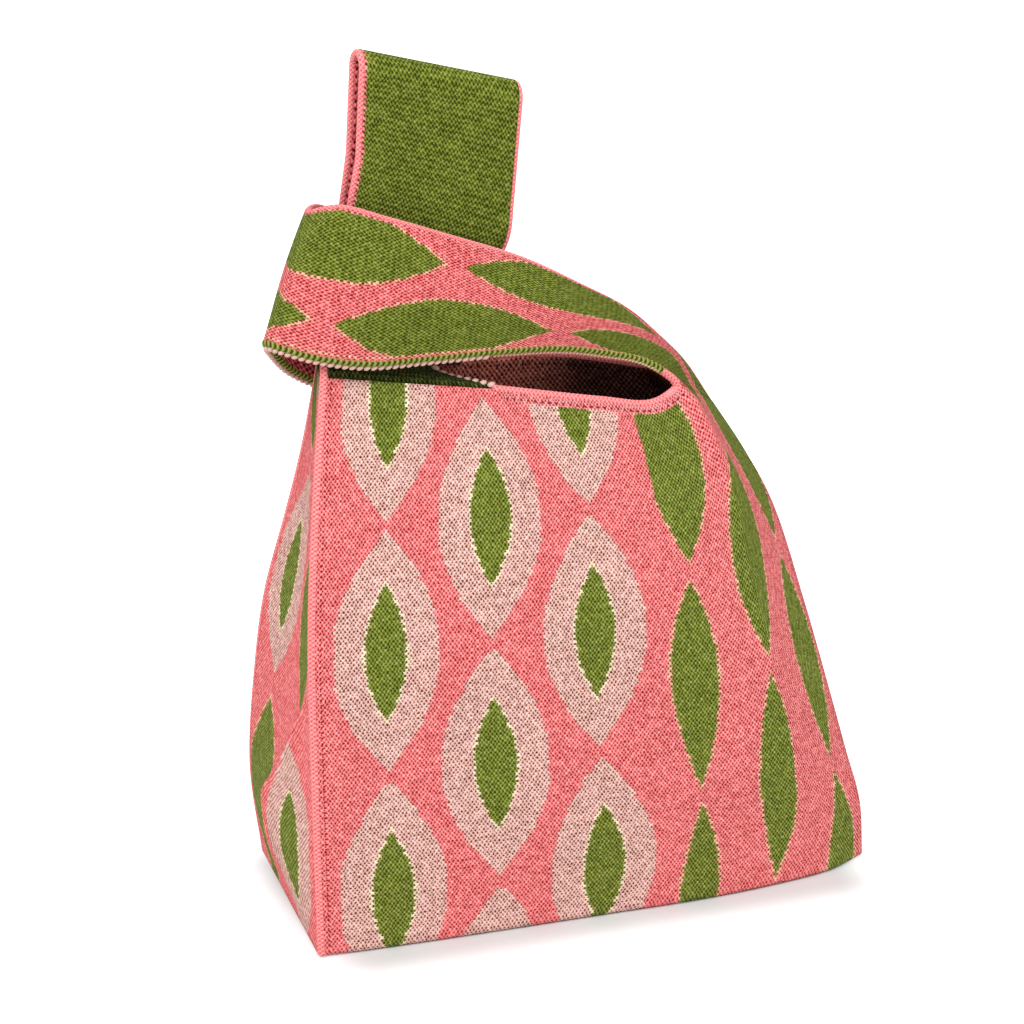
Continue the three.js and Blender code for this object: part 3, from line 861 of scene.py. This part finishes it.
def stitch_group():
    """Staggered stitches: each cell's centre, a relief, 1 on a stitch and 0 in a hole, and a random fleck.

    Relief is (1 + cos(2 pi x / w) cos(pi y / h)) / 2 in a cell's own coordinates, pressed down by the share
    Rows between every two courses.
    """
    nodes, given, made = new_group(
        "stitches",
        {"Place": "Vector", "Width": "Float", "Height": "Float", "Rows": "Float"},
        {"Cell X": "Float", "Cell Y": "Float", "Relief": "Float", "Fleck": "Float"},
    )
    strayed = given["Place"]
    for scale, reach in STITCH_WANDER:
        off = nodes.vector("SUBTRACT", nodes.noise(given["Place"], scale, 1.0)["Color"], (0.5, 0.5, 0.5))
        strayed = nodes.vector("MULTIPLY_ADD", off, (reach, reach, 0.0), strayed)
    split = nodes.split(strayed)
    level = split["Y"] / given["Height"]
    row = level.floor()
    odd = row % 2.0 * 0.5
    column = split["X"] / given["Width"] - odd
    middle = column.floor() + 0.5 + odd
    centre = row + 0.5
    ripple = ((column - 0.5) * (2 * np.pi)).cosine() * ((level - centre) * np.pi).cosine()
    course = 0.5 - (level * np.pi).cosine() * 0.5
    cell = nodes.node("ShaderNodeCombineXYZ", {0: middle, 1: row})[0]
    nodes.feed(made, {
        "Cell X": middle * given["Width"],
        "Cell Y": centre * given["Height"],
        "Relief": (ripple * 0.5 + 0.5) * (1.0 - course * given["Rows"]),
        "Fleck": nodes.node("ShaderNodeTexWhiteNoise", {"Vector": cell})["Value"],
    })


def leaf_group():
    """Half-drop lattice of pointed leaves.

    Margin is w (1 - (y / h)^2) - |x| about the nearest leaf's centre, and above 0 inside the leaf.
    """
    names = ("X", "Y", "Column", "Row", "Start X", "Start Y", "Half Width", "Half Height")
    nodes, given, made = new_group("leaves", dict.fromkeys(names, "Float"), {"Margin": "Float"})
    along_x = (given["X"] - given["Start X"]) / given["Column"]
    number = (along_x + 0.5).floor()
    off_x = (along_x - number) * given["Column"]
    along_y = (given["Y"] - given["Start Y"]) / given["Row"] + number % 2.0 * 0.5
    off_y = (along_y - (along_y + 0.5).floor()) * given["Row"]
    share = off_y / given["Half Height"]
    nodes.feed(made, {"Margin": (1.0 - share * share) * given["Half Width"] - off_x.absolute()})


# Scale of the slow changes of tone and of the fibres, per millimetre, and how much fibres and flecks lift.
SLOW_SCALE = 0.04
FIBRE_SCALE = 2.6
FIBRE_LIFT = 0.4
FLECK_LIFT = 0.26

# Heights between which a hole's painted shade turns into the yarn, and between which a crest's painted
# highlight grows to its full share.
HOLE_LIMITS = (0.06, 0.52)
CREST_LIMITS = (0.55, 1.05)
CREST_SHARE = 0.9

# Powers and saturations of the holes' painted shade and of the crests' painted highlight, and how far flecks
# and slow changes swing the tone. A yarn counts as light by its green channel.
HOLE_GAMMA = 1.5
HOLE_SATURATION = 1.12
LIGHT_LIMITS = (0.30, 0.45)
PALE_HOLE = 0.45
PALE_SATURATION = 1.55
CREST_GAMMA = 0.55
TONE_SWING = 0.16


def yarn_group():
    """Yarn shading: painted shade in the holes, a painted highlight on the crests, flecks by stitch, and a
    bump height.

    A hole's colour is painted shade: the yarn's to the power of HOLE_GAMMA, more saturated, times the shade.
    In a light yarn it is times PALE_HOLE too, because the darker floats behind show. A crest's colour is a
    painted highlight: the yarn's to the power of CREST_GAMMA.
    """
    nodes, given, made = new_group(
        "yarn",
        {"Colour": "Color", "Relief": "Float", "Fleck": "Float", "Place": "Vector", "Shade": "Float"},
        {"Colour": "Color", "Height": "Float"},
    )
    yarn, fleck = given["Colour"], given["Fleck"]
    slow = nodes.noise(given["Place"], SLOW_SCALE)["Fac"]
    fibre = nodes.noise(given["Place"], FIBRE_SCALE)["Fac"]
    height = (fleck - 0.5) * FLECK_LIFT + ((fibre - 0.5) * FIBRE_LIFT + given["Relief"])
    body = nodes.ramp(height, HOLE_LIMITS, kind="SMOOTHSTEP")
    # Painted highlight on the crests of the stitches.
    crest = nodes.ramp(height, CREST_LIMITS, (0.0, CREST_SHARE))
    light = nodes.node("ShaderNodeSeparateColor", {0: yarn})["Green"]
    # Painted shade in the holes between the stitches.
    hole = nodes.node("ShaderNodeHueSaturation", {
        "Color": nodes.gamma(yarn, HOLE_GAMMA),
        "Saturation": nodes.ramp(light, LIGHT_LIMITS, (HOLE_SATURATION, PALE_SATURATION)),
        "Value": given["Shade"] * nodes.ramp(light, LIGHT_LIMITS, (1.0, PALE_HOLE)),
    })[0]
    tint = nodes.mix(crest, nodes.mix(body, hole, yarn), nodes.gamma(yarn, CREST_GAMMA))
    tone = fleck * TONE_SWING + (slow * TONE_SWING + (1 - TONE_SWING))
    nodes.feed(made, {"Colour": nodes.scaled(tint, tone), "Height": height})


# The yarn's surface, the strength of its bump and its depth in metres, and the scale of a roll's flecks.
WOOL = {"Roughness": 0.9, "Specular IOR Level": 0.06, "Sheen Weight": 0.02, "Sheen Roughness": 0.6}
BUMP_STRENGTH = 0.9
KNIT_BUMP = 0.0006
ROLL_BUMP = 0.0003
ROLL_FLECK_SCALE = 0.9


def new_material(name, settings):
    """A material's nodes and its Principled BSDF, with its settings made."""
    material = bpy.data.materials.new(name)
    material.use_nodes = True
    nodes = Nodes(material.node_tree)
    shader = material.node_tree.nodes["Principled BSDF"]
    nodes.feed(shader, settings)
    return nodes, shader


def finish_yarn(nodes, shader, inputs, bump):
    """Shades a yarn by the shared group and links its colour and its bump to the shader."""
    yarn = nodes.place("yarn", inputs)
    lifted = {"Height": yarn["Height"], "Distance": bump, "Strength": BUMP_STRENGTH}
    nodes.feed(shader, {"Base Color": yarn["Colour"], "Normal": nodes.node("ShaderNodeBump", lifted)[0]})


# A lattice of leaves: yarn and outline yarn, pitch both ways, place of one leaf, its half width at the foot
# and at the top of the body, its half height, and its range across, in millimetres.
Motif = namedtuple(
    "Motif", "yarn outline column row start_x start_y foot_width half_width half_height low_x high_x"
)
Stripe = namedtuple("Stripe", "yarn low_x high_x")

LIGHT_LEAF = Motif("pale", "pale", 41, 96, 28, 22, 20, 20, 45, 8.5, 130.5)
SEED_LEAF = LIGHT_LEAF._replace(yarn="green", outline="cream", foot_width=8, half_width=8, half_height=26)
SIDE_LEAF = Motif("green", "peach", 33, 92, 183, 46, 8, 15, 42, 138, 228)
BAND_LEAF = SIDE_LEAF._replace(low_x=171)
GUSSET_LIGHT = Motif("pale", "pale", 40, 190, 20, 36, 17, 17, 42, 4, 76)
GUSSET_SEED = GUSSET_LIGHT._replace(
    yarn="green", outline="cream", foot_width=7, half_width=7, half_height=24
)
GUSSET_GREEN = GUSSET_LIGHT._replace(yarn="green", outline="peach", start_y=131)
PANEL_MOTIFS = (LIGHT_LEAF, SEED_LEAF, SIDE_LEAF)
GUSSET_MOTIFS = (GUSSET_LIGHT, GUSSET_SEED, GUSSET_GREEN)
BAND_STRIPES = (Stripe("peach", 170, 171), Stripe("edge", 228.4, 232))
HANDLE_STRIPES = (Stripe("edge", -1, 1.2), Stripe("edge", 61.6, 63))

# Width of a leaf's outline, and the heights between which leaves widen, in millimetres.
OUTLINE = 1.0
LEAF_RISE = (60, 190)

# Rows of small holes, in millimetres: how far apart, half their size, where the rows are, the width of the
# plain border along the lip, and how far a hole lowers the relief.
Holes = namedtuple("Holes", "pitch reach")
SEAM_EYELETS = Holes(2.1, 0.34)
LIP_EYELETS = Holes(3.2, 0.55)
PANEL_EYELETS = (3.4, 226.5)
LIP_HOLES = 3.5
LIP_BORDER = 4.8
HOLE_DROP = 1.2

# Floats on the inside are coarser than stitches by this share, and their holes keep this share of the
# painted shade's brightness. The inside is where the stored value passes a limit, so that the cut edges keep
# the outside's yarn.
FLOAT_GROWTH = 0.5
FLOAT_SHADE = 0.3
INSIDE_FROM = 0.85

# Share of the colour darkened as painted shade on the handle's roots under the long loop, and far inside the
# body on the right.
ROOT_SHADE = 0.78
DEEP_SHADE = 0.9

# How far the painted shade in the sides' holes is lifted, as if the holes were pulled shut, how much courses
# stand out on the straps, and the brightness that painted shade leaves between the stitches of rolls and of
# small loops.
GUSSET_FLAT = 0.45
BAND_ROWS = 0.3
HANDLE_ROWS = 0.45
ROLL_SHADE = 0.8
BEAD_SHADE = 0.4


def motif_tint(nodes, stitch, motif, tint):
    """Lays one lattice of leaves, with its outline, over a colour, whole stitches at a time."""
    yarn = bpy.context.scene.knot_bag_yarn
    x, y = stitch["Cell X"], stitch["Cell Y"]
    margin = nodes.place("leaves", {
        "X": x, "Y": y, "Column": motif.column, "Row": motif.row,
        "Start X": motif.start_x, "Start Y": motif.start_y,
        "Half Width": nodes.ramp(y, LEAF_RISE, (motif.foot_width, motif.half_width)),
        "Half Height": motif.half_height,
    })["Margin"]
    for name, least in ((motif.outline, -OUTLINE), (motif.yarn, 0.0)):
        covered = x.between(motif.low_x, motif.high_x) * (margin > least)
        tint = nodes.mix(covered, tint, linear(getattr(yarn, name)))
    return tint


def pierced(relief, across, middle, run, holes):
    """Opens a row of small holes in a relief where across is near middle, spaced along run by a cosine."""
    dots = (run * (2 * np.pi / holes.pitch)).cosine() > np.cos(2 * np.pi * holes.reach / holes.pitch)
    return relief - across.between(middle - holes.reach, middle + holes.reach) * dots * HOLE_DROP


def jacquard_material(
    name, ground, motifs=(), stripes=(), reverse="reverse", rows=0.0, flat=0.0, eyelets=()
):
    """Knit with stepped motifs and stripes on a plain ground, and loose floats on the inside.

    rows is how much every second course stands out. flat is how far the painted shade in the holes is
    lifted, as if they were pulled shut. eyelets are the columns with a row of small holes. The stored values
    under and
    deep are painted shade: they darken the colour on the handle's roots under the long loop and far inside
    the body.
    """
    yarn = bpy.context.scene.knot_bag_yarn
    nodes, shader = new_material(name, WOOL)
    place = nodes.knit_place()
    turned = nodes.stored("inside") > INSIDE_FROM
    coarse = turned * FLOAT_GROWTH + 1.0
    stitch = nodes.place("stitches", {
        "Place": place, "Rows": rows,
        "Width": coarse * (yarn.stitch_width / MM), "Height": coarse * (yarn.course_height / MM),
    })
    tint = linear(getattr(yarn, ground))
    for motif in motifs:
        tint = motif_tint(nodes, stitch, motif, tint)
    for stripe in stripes:
        on_stripe = stitch["Cell X"].between(stripe.low_x, stripe.high_x)
        tint = nodes.mix(on_stripe, tint, linear(getattr(yarn, stripe.yarn)))
    relief = stitch["Relief"]
    split = nodes.split(place)
    for column in eyelets:
        relief = pierced(relief, split["X"], column, split["Y"], SEAM_EYELETS)
    if eyelets:
        rim = nodes.stored("rim")
        relief = pierced(relief, rim, LIP_HOLES, split["X"], LIP_EYELETS)
        tint = nodes.mix(rim < LIP_BORDER, tint, linear(yarn.edge))
    tint = nodes.mix(turned, tint, linear(getattr(yarn, reverse)))
    # Painted shade: darker on the handle's roots under the long loop and far inside the body.
    lit = 1.0 - nodes.stored("under") - nodes.stored("deep") * turned
    # Painted shade in the holes: lifted by flat, and deepened in the floats on the inside.
    open_shade = yarn.shade + flat * (1 - yarn.shade)
    finish_yarn(nodes, shader, {
        "Colour": nodes.scaled(tint, lit), "Relief": relief, "Fleck": stitch["Fleck"], "Place": place,
        "Shade": turned * ((FLOAT_SHADE - 1) * yarn.shade) + open_shade,
    }, KNIT_BUMP)


def roll_material(name, tone, shade):
    """Rolled edge yarn: painted shade between its stitches down to the shade, and a painted highlight on
    them.
    """
    nodes, shader = new_material(name, WOOL)
    place = nodes.knit_place()
    finish_yarn(nodes, shader, {
        "Colour": linear(tone), "Relief": nodes.stored("relief"), "Place": place, "Shade": shade,
        "Fleck": nodes.noise(place, ROLL_FLECK_SCALE)["Fac"],
    }, ROLL_BUMP)


def finish(name):
    """A yarn finish by name. The first call makes the shared node groups and all the finishes."""
    if "yarn" not in bpy.data.node_groups:
        stitch_group()
        leaf_group()
        yarn_group()
        yarn = bpy.context.scene.knot_bag_yarn
        jacquard_material("panel_jacquard", "pink", PANEL_MOTIFS, eyelets=PANEL_EYELETS)
        jacquard_material("gusset_jacquard", "pink", GUSSET_MOTIFS, flat=GUSSET_FLAT)
        jacquard_material("base_jersey", "pink")
        jacquard_material("band_jacquard", "pink", (BAND_LEAF,), BAND_STRIPES, "lining", BAND_ROWS)
        jacquard_material("handle_jersey", "green", (), HANDLE_STRIPES, "lining", HANDLE_ROWS)
        roll_material("pink_roll", yarn.edge, ROLL_SHADE)
        roll_material("green_braid", yarn.green, yarn.shade)
        roll_material("pale_beads", yarn.bead, BEAD_SHADE)
        roll_material("peach_beads", yarn.fine_bead, BEAD_SHADE)
    return bpy.data.materials[name]


# Operators

# Where each cloth has its points, as shares both ways. Gaps at the ends leave room for what it meets there.
PANEL_SHARES = (shares(150, 0.003), np.linspace(0.003, 1, 141))
GUSSET_SHARES = (shares(60, 0.01), shares(140, 0.003))
BASE_SHARES = (shares(110, 0.01), shares(44, 0.03))
STRAP_SHARES = (shares(220), shares(40, 0.01))
BAND_SHARES = (shares(360), shares(44, 0.01))

# Steps by which one rolled edge runs on into the next.
EDGE_OVERLAP = 2


def settle(piece, slot, *nodes):
    """Rides a piece on the bag's body, in place of its CAD nodes if it has any."""
    if nodes:
        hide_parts(*nodes)
    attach(piece, "bag")


class KNOTBAG_OT_panels(bpy.types.Operator):
    """Knits the front and back panels"""

    bl_idname = "knot_bag.panels"
    bl_label = "Front and Back Panels"

    def execute(self, context):
        u, v = PANEL_SHARES
        for side, place in SIDES.items():
            piece = cloth_piece(
                f"{place}_panel_knit", panel_surface(side, u, v), panel_map(side, u, v), -side,
                "panel_jacquard", rim=panel_rim(side, u, v), deep=panel_painted_shade(u, v),
            )
            settle(piece, f"{place}_knit", f"{place}_panel")
        return {"FINISHED"}


class KNOTBAG_OT_gussets(bpy.types.Operator):
    """Knits the two narrow sides and rims the right one"""

    bl_idname = "knot_bag.gussets"
    bl_label = "Side Gussets"

    def execute(self, context):
        b = body_sizes()
        u, v = GUSSET_SHARES
        for name, surface, outward in (("left_gusset", left_gusset_surface, -1),
                                       ("right_gusset", right_gusset_surface, 1)):
            grid = surface(u, v)
            place = paired((b.base_depth * u)[:, None], run_lengths(grid[len(u) // 2])[None, :])
            piece = cloth_piece(f"{name}_knit", grid, place, outward, "gusset_jacquard")
            settle(piece, "gusset_knit", name)
        # The last grid is the right side's, and its open top gets a rim.
        settle(roll_piece("right_gusset_rim", grid[:, -1], b.side_radius, (0, 0, 1)), "pink_edge")
        return {"FINISHED"}


class KNOTBAG_OT_base(bpy.types.Operator):
    """Knits the bottom"""

    bl_idname = "knot_bag.base"
    bl_label = "Base"

    def execute(self, context):
        grid = base_surface(*BASE_SHARES)
        place = grid[:, :, :2] + body_sizes().base_width
        piece = cloth_piece("base_panel_knit", grid, place, -1, "base_jersey")
        settle(piece, "base_knit", "base_panel")
        return {"FINISHED"}


class KNOTBAG_OT_seams(bpy.types.Operator):
    """Pinches the four ridges along the box edges"""

    bl_idname = "knot_bag.seams"
    bl_label = "Seams"

    def execute(self, context):
        b = body_sizes()
        for side, place in SIDES.items():
            left = np.vstack([left_rail(side), lower_root("left", side)])
            lines = {"left": (left, b.seam_radius), "right": (right_rail(side), b.side_radius)}
            for edge, (line, radius) in lines.items():
                name = f"{place}_{edge}_seam"
                settle(roll_piece(f"{name}_roll", line, radius, (1, 0, 0)), "pink_edge", name)
        return {"FINISHED"}


# The lip's roll turns up into the root for this many steps. A row of loops goes on beside the root, shifted
# across, outwards and up by these millimetres.
LIP_TURN = 4
ROOT_BEAD_SHIFT = (1.4, 1.2, 0.8)


class KNOTBAG_OT_mouth(bpy.types.Operator):
    """Rolls the edges of the mouth and sets small loops along the handle's roots"""

    bl_idname = "knot_bag.mouth"
    bl_label = "Mouth Edges"

    def execute(self, context):
        for side, place in SIDES.items():
            root = lower_root("right", side)
            line = np.vstack([lip_rail(side)[::-1], root[:LIP_TURN]])
            piece = roll_piece(f"{place}_mouth_roll", line, body_sizes().edge_radius, (0, 1, 0))
            settle(piece, "pink_edge", f"{place}_mouth_edge")
            row = root[LIP_TURN:] + np.array(ROOT_BEAD_SHIFT) * (1, side, 1)
            beads = bead_piece(f"{place}_root_beads", row, strap_sizes().root_bead, "pale_beads")
            settle(beads, "pink_edge")
        return {"FINISHED"}


# The painted shade on the carry handle's roots fades out between these two distances from their ends, in
# millimetres.
UNDER_REACH = (10, 30)


class KNOTBAG_OT_carry_handle(bpy.types.Operator):
    """Knits the carry handle in one strip from the front root over the fold to the back root"""

    bl_idname = "knot_bag.carry_handle"
    bl_label = "Carry Handle"

    def execute(self, context):
        u, v = STRAP_SHARES
        grid = strap_surface(u, v)
        run = run_lengths(grid[:, len(v) // 2])
        place = paired((strap_sizes().band_width * v)[None, :], run[:, None])
        # Painted shade on the roots under the long loop, fading out away from their ends.
        lost = ROOT_SHADE * (1 - smooth(np.minimum(run, run[-1] - run), *UNDER_REACH))
        under = np.broadcast_to(lost[:, None], grid.shape[:2])
        piece = cloth_piece("carry_handle_strap", grid, place, -1, "handle_jersey", under=under)
        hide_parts("carry_handle_loop", "carry_handle_root_front", "carry_handle_root_back",
                    "carry_handle_flex_front", "carry_handle_flex_back")
        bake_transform(piece)
        return {"FINISHED"}


class KNOTBAG_OT_handle_edges(bpy.types.Operator):
    """Rolls the two edges of the carry handle"""

    bl_idname = "knot_bag.handle_edges"
    bl_label = "Carry Handle Edges"

    def execute(self, context):
        start = int(ROOT_SHARE * (ROOT_STEPS + 1)) - EDGE_OVERLAP
        for name in HINGE:
            line = strap_edge(name)[start:-start]
            piece = roll_piece(f"carry_handle_{name}_roll", line, strap_sizes().roll_radius, (1, 0, 0))
            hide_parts(f"carry_handle_{name}_edge")
            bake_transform(piece)
        return {"FINISHED"}


# Steps round the long loop's edges, and of these: where the plain roll along its lower edge turns into the
# braid, and where the fine row of loops under the braid turns into the larger one, counted from either end.
EDGE_STEPS = 400
BRAID_START = 20
BEAD_START = 104

# Steps along the lip and the long loop that the mouth's right end rounds off.
SLOT_ROUND = 4

# The rows of loops lie this many braid radii below the braid's middle and inside it.
BEAD_BELOW = 1.25
BEAD_INSIDE = 0.2


def slot_edge(low, side):
    """The mouth's rounded right end: along the lip, over the corner, along the long loop's lower edge."""
    lip = lip_rail(side)
    near, far = 2 * SLOT_ROUND, 3 * SLOT_ROUND
    corner = (lip[-SLOT_ROUND] + low[SLOT_ROUND]) / 2
    return rail([lip[-far], lip[-near], corner, low[near], low[far], low[BRAID_START + EDGE_OVERLAP]])


class KNOTBAG_OT_knot_band(bpy.types.Operator):
    """Knits the long loop that is wrapped round the carry handle"""

    bl_idname = "knot_bag.knot_band"
    bl_label = "Long Loop"

    def execute(self, context):
        u, v = BAND_SHARES
        piece = cloth_piece("knot_band_knit", band_surface(u, v), band_map(u, v), -1, "band_jacquard")
        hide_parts("knot_loop_band")
        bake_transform(piece)
        return {"FINISHED"}


class KNOTBAG_OT_band_edges(bpy.types.Operator):
    """Rolls and braids the long loop's edges, hangs small loops under it and rims the mouth's right end"""

    bl_idname = "knot_bag.band_edges"
    bl_label = "Long Loop Edges"

    def execute(self, context):
        s = strap_sizes()
        at = shares(EDGE_STEPS)
        low, high = band_lower(at), band_upper(at)
        across = unit(high - low)
        inward = unit(np.cross(across, np.gradient(low, axis=0)))
        row = low - s.braid_radius * (BEAD_BELOW * across + BEAD_INSIDE * inward)
        upper = roll_piece("knot_band_upper_roll", high, s.rim_radius, (0, 0, 1))
        line = low[BRAID_START:-BRAID_START]
        lower = roll_piece("knot_band_lower_braid", line, s.braid_radius, (0, 0, 1), "green_braid", BRAID)
        pieces = [upper, lower]
        for name, line, size, material in (
            ("beads", row[BEAD_START:-BEAD_START], s.bead, "pale_beads"),
            ("front_fine_beads", row[BRAID_START:BEAD_START], s.fine_bead, "peach_beads"),
            ("back_fine_beads", row[-BEAD_START:-BRAID_START], s.fine_bead, "peach_beads"),
        ):
            pieces.append(bead_piece(f"knot_band_{name}", line, size, material))
        for side, edge in ((FRONT, low), (BACK, low[::-1])):
            line = slot_edge(edge, side)
            name = f"knot_band_{SIDES[side]}_rim"
            pieces.append(roll_piece(name, line, body_sizes().edge_radius, (0, 1, 0)))
        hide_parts("knot_loop_upper_edge")
        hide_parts("knot_loop_lower_edge")
        for piece in pieces:
            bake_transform(piece)
        return {"FINISHED"}


# The photo's camera: the point it is aimed at and its distance from there in metres, and its lens.
CAMERA_AIM = Vector((-0.02222, 0, 0.15419))
CAMERA_DISTANCE = 1.3
CAMERA_AZIMUTH = radians(-21.25)
CAMERA_ELEVATION = radians(18)
CAMERA_LENS = 118.8

# Soft lamps: place and size in metres, and power in watts.
Lamp = namedtuple("Lamp", "place size watts")
LAMPS = {
    "key_light": Lamp((-1.1, -0.75, 1.55), 1.2, 26),
    "fill_light": Lamp((0.9, -0.6, 1.7), 1.3, 19),
}
WORLD_LIGHT = 0.58
WHITE = (1, 1, 1, 1)

# The floor's half size, and its tone in the light it throws back and as it is seen.
FLOOR_REACH = 6
FLOOR_BOUNCE = (0.90, 0.90, 0.90, 1)
FLOOR_SEEN = (0.58, 0.58, 0.58, 1)
FLOOR_FINISH = {"Roughness": 0.9, "Specular IOR Level": 0.0, "Emission Color": WHITE}

# Half sizes of the bag's footprint, and how far outside it the floor's shadow starts to fade and is gone.
FOOTPRINT = (0.095, 0.046, 0)
SHADOW_REACH = (0.002, 0.040)


class KNOTBAG_OT_stage(bpy.types.Operator):
    """Sets the floor, the soft lights and the camera"""

    bl_idname = "knot_bag.stage"
    bl_label = "Stage"

    def execute(self, context):
        context.scene.view_settings.view_transform = "Standard"
        self.floor(context.scene)
        self.world(context.scene)
        for name, lamp in LAMPS.items():
            self.lamp(context.scene, name, lamp)
        self.camera(context.scene)
        return {"FINISHED"}

    def floor(self, scene):
        """A wide floor that shows white outside the bag's own shadow."""
        mesh = bpy.data.meshes.new("floor")
        corners = [(x * FLOOR_REACH, y * FLOOR_REACH, 0) for x, y in ((-1, -1), (1, -1), (1, 1), (-1, 1))]
        mesh.from_pydata(corners, [], [(0, 1, 2, 3)])
        floor = bpy.data.objects.new("floor", mesh)
        scene.collection.objects.link(floor)
        nodes, shader = new_material("pale_floor", FLOOR_FINISH)
        place = nodes.node("ShaderNodeTexCoord", {})["Object"]
        past = nodes.vector("SUBTRACT", nodes.vector("ABSOLUTE", place), FOOTPRINT)
        outside = {0: nodes.vector("MAXIMUM", past, (0, 0, 0))}
        away = nodes.node("ShaderNodeVectorMath", outside, operation="LENGTH")["Value"]
        seen = nodes.node("ShaderNodeLightPath", {})["Is Camera Ray"]
        nodes.feed(shader, {
            "Base Color": nodes.mix(seen, FLOOR_BOUNCE, FLOOR_SEEN),
            "Emission Strength": nodes.ramp(away, SHADOW_REACH, kind="SMOOTHSTEP") * seen,
        })
        mesh.materials.append(bpy.data.materials["pale_floor"])

    def world(self, scene):
        """A white backdrop that lights the bag less than it shows."""
        world = bpy.data.worlds.new("studio")
        world.use_nodes = True
        nodes = Nodes(world.node_tree)
        light = nodes.node("ShaderNodeLightPath", {})
        seen = nodes.math("MAXIMUM", light["Is Camera Ray"], light["Is Glossy Ray"])
        strength = nodes.ramp(seen, (0.0, 1.0), (WORLD_LIGHT, 1.0))
        nodes.feed(world.node_tree.nodes["Background"], {"Color": WHITE, "Strength": strength})
        scene.world = world

    def lamp(self, scene, name, given):
        """A square lamp turned to the bag."""
        data = bpy.data.lights.new(name, "AREA")
        data.size = given.size
        data.energy = given.watts
        lamp = bpy.data.objects.new(name, data)
        lamp.location = given.place
        lamp.rotation_euler = (CAMERA_AIM - Vector(given.place)).to_track_quat("-Z", "Y").to_euler()
        scene.collection.objects.link(lamp)

    def camera(self, scene):
        """The photo's point of view."""
        data = bpy.data.cameras.new("photo_view")
        data.lens = CAMERA_LENS
        camera = bpy.data.objects.new("photo_view", data)
        level, rise = np.cos(CAMERA_ELEVATION), np.sin(CAMERA_ELEVATION)
        back = Vector((np.sin(CAMERA_AZIMUTH) * level, -np.cos(CAMERA_AZIMUTH) * level, rise))
        camera.location = CAMERA_AIM + CAMERA_DISTANCE * back
        camera.rotation_euler = (-back).to_track_quat("-Z", "Y").to_euler()
        scene.collection.objects.link(camera)
        scene.camera = camera


OPERATORS = (
    KNOTBAG_OT_panels,
    KNOTBAG_OT_gussets,
    KNOTBAG_OT_base,
    KNOTBAG_OT_seams,
    KNOTBAG_OT_mouth,
    KNOTBAG_OT_carry_handle,
    KNOTBAG_OT_handle_edges,
    KNOTBAG_OT_knot_band,
    KNOTBAG_OT_band_edges,
    KNOTBAG_OT_stage,
)


class KNOTBAG_PT_sidebar(bpy.types.Panel):
    """Lists the bag's sizes, colours and pieces"""

    bl_idname = "KNOTBAG_PT_sidebar"
    bl_label = "Knitted Knot Bag"
    bl_space_type = "VIEW_3D"
    bl_region_type = "UI"
    bl_category = "Knot Bag"

    def draw(self, context):
        for name, kind in GROUPS.items():
            box = self.layout.box()
            for key in kind.__annotations__:
                box.prop(getattr(context.scene, name), key)
        for operator in OPERATORS:
            self.layout.operator(operator.bl_idname)


CLASSES = (*GROUPS.values(), *OPERATORS, KNOTBAG_PT_sidebar)


def register():
    for kind in CLASSES:
        bpy.utils.register_class(kind)
    for name, kind in GROUPS.items():
        setattr(bpy.types.Scene, name, bpy.props.PointerProperty(type=kind))


def unregister():
    for name in GROUPS:
        delattr(bpy.types.Scene, name)
    for kind in reversed(CLASSES):
        bpy.utils.unregister_class(kind)


def main():
    register()
    for operator in OPERATORS:
        group, name = operator.bl_idname.split(".")
        getattr(getattr(bpy.ops, group), name)()


if __name__ == "__main__":
    main()
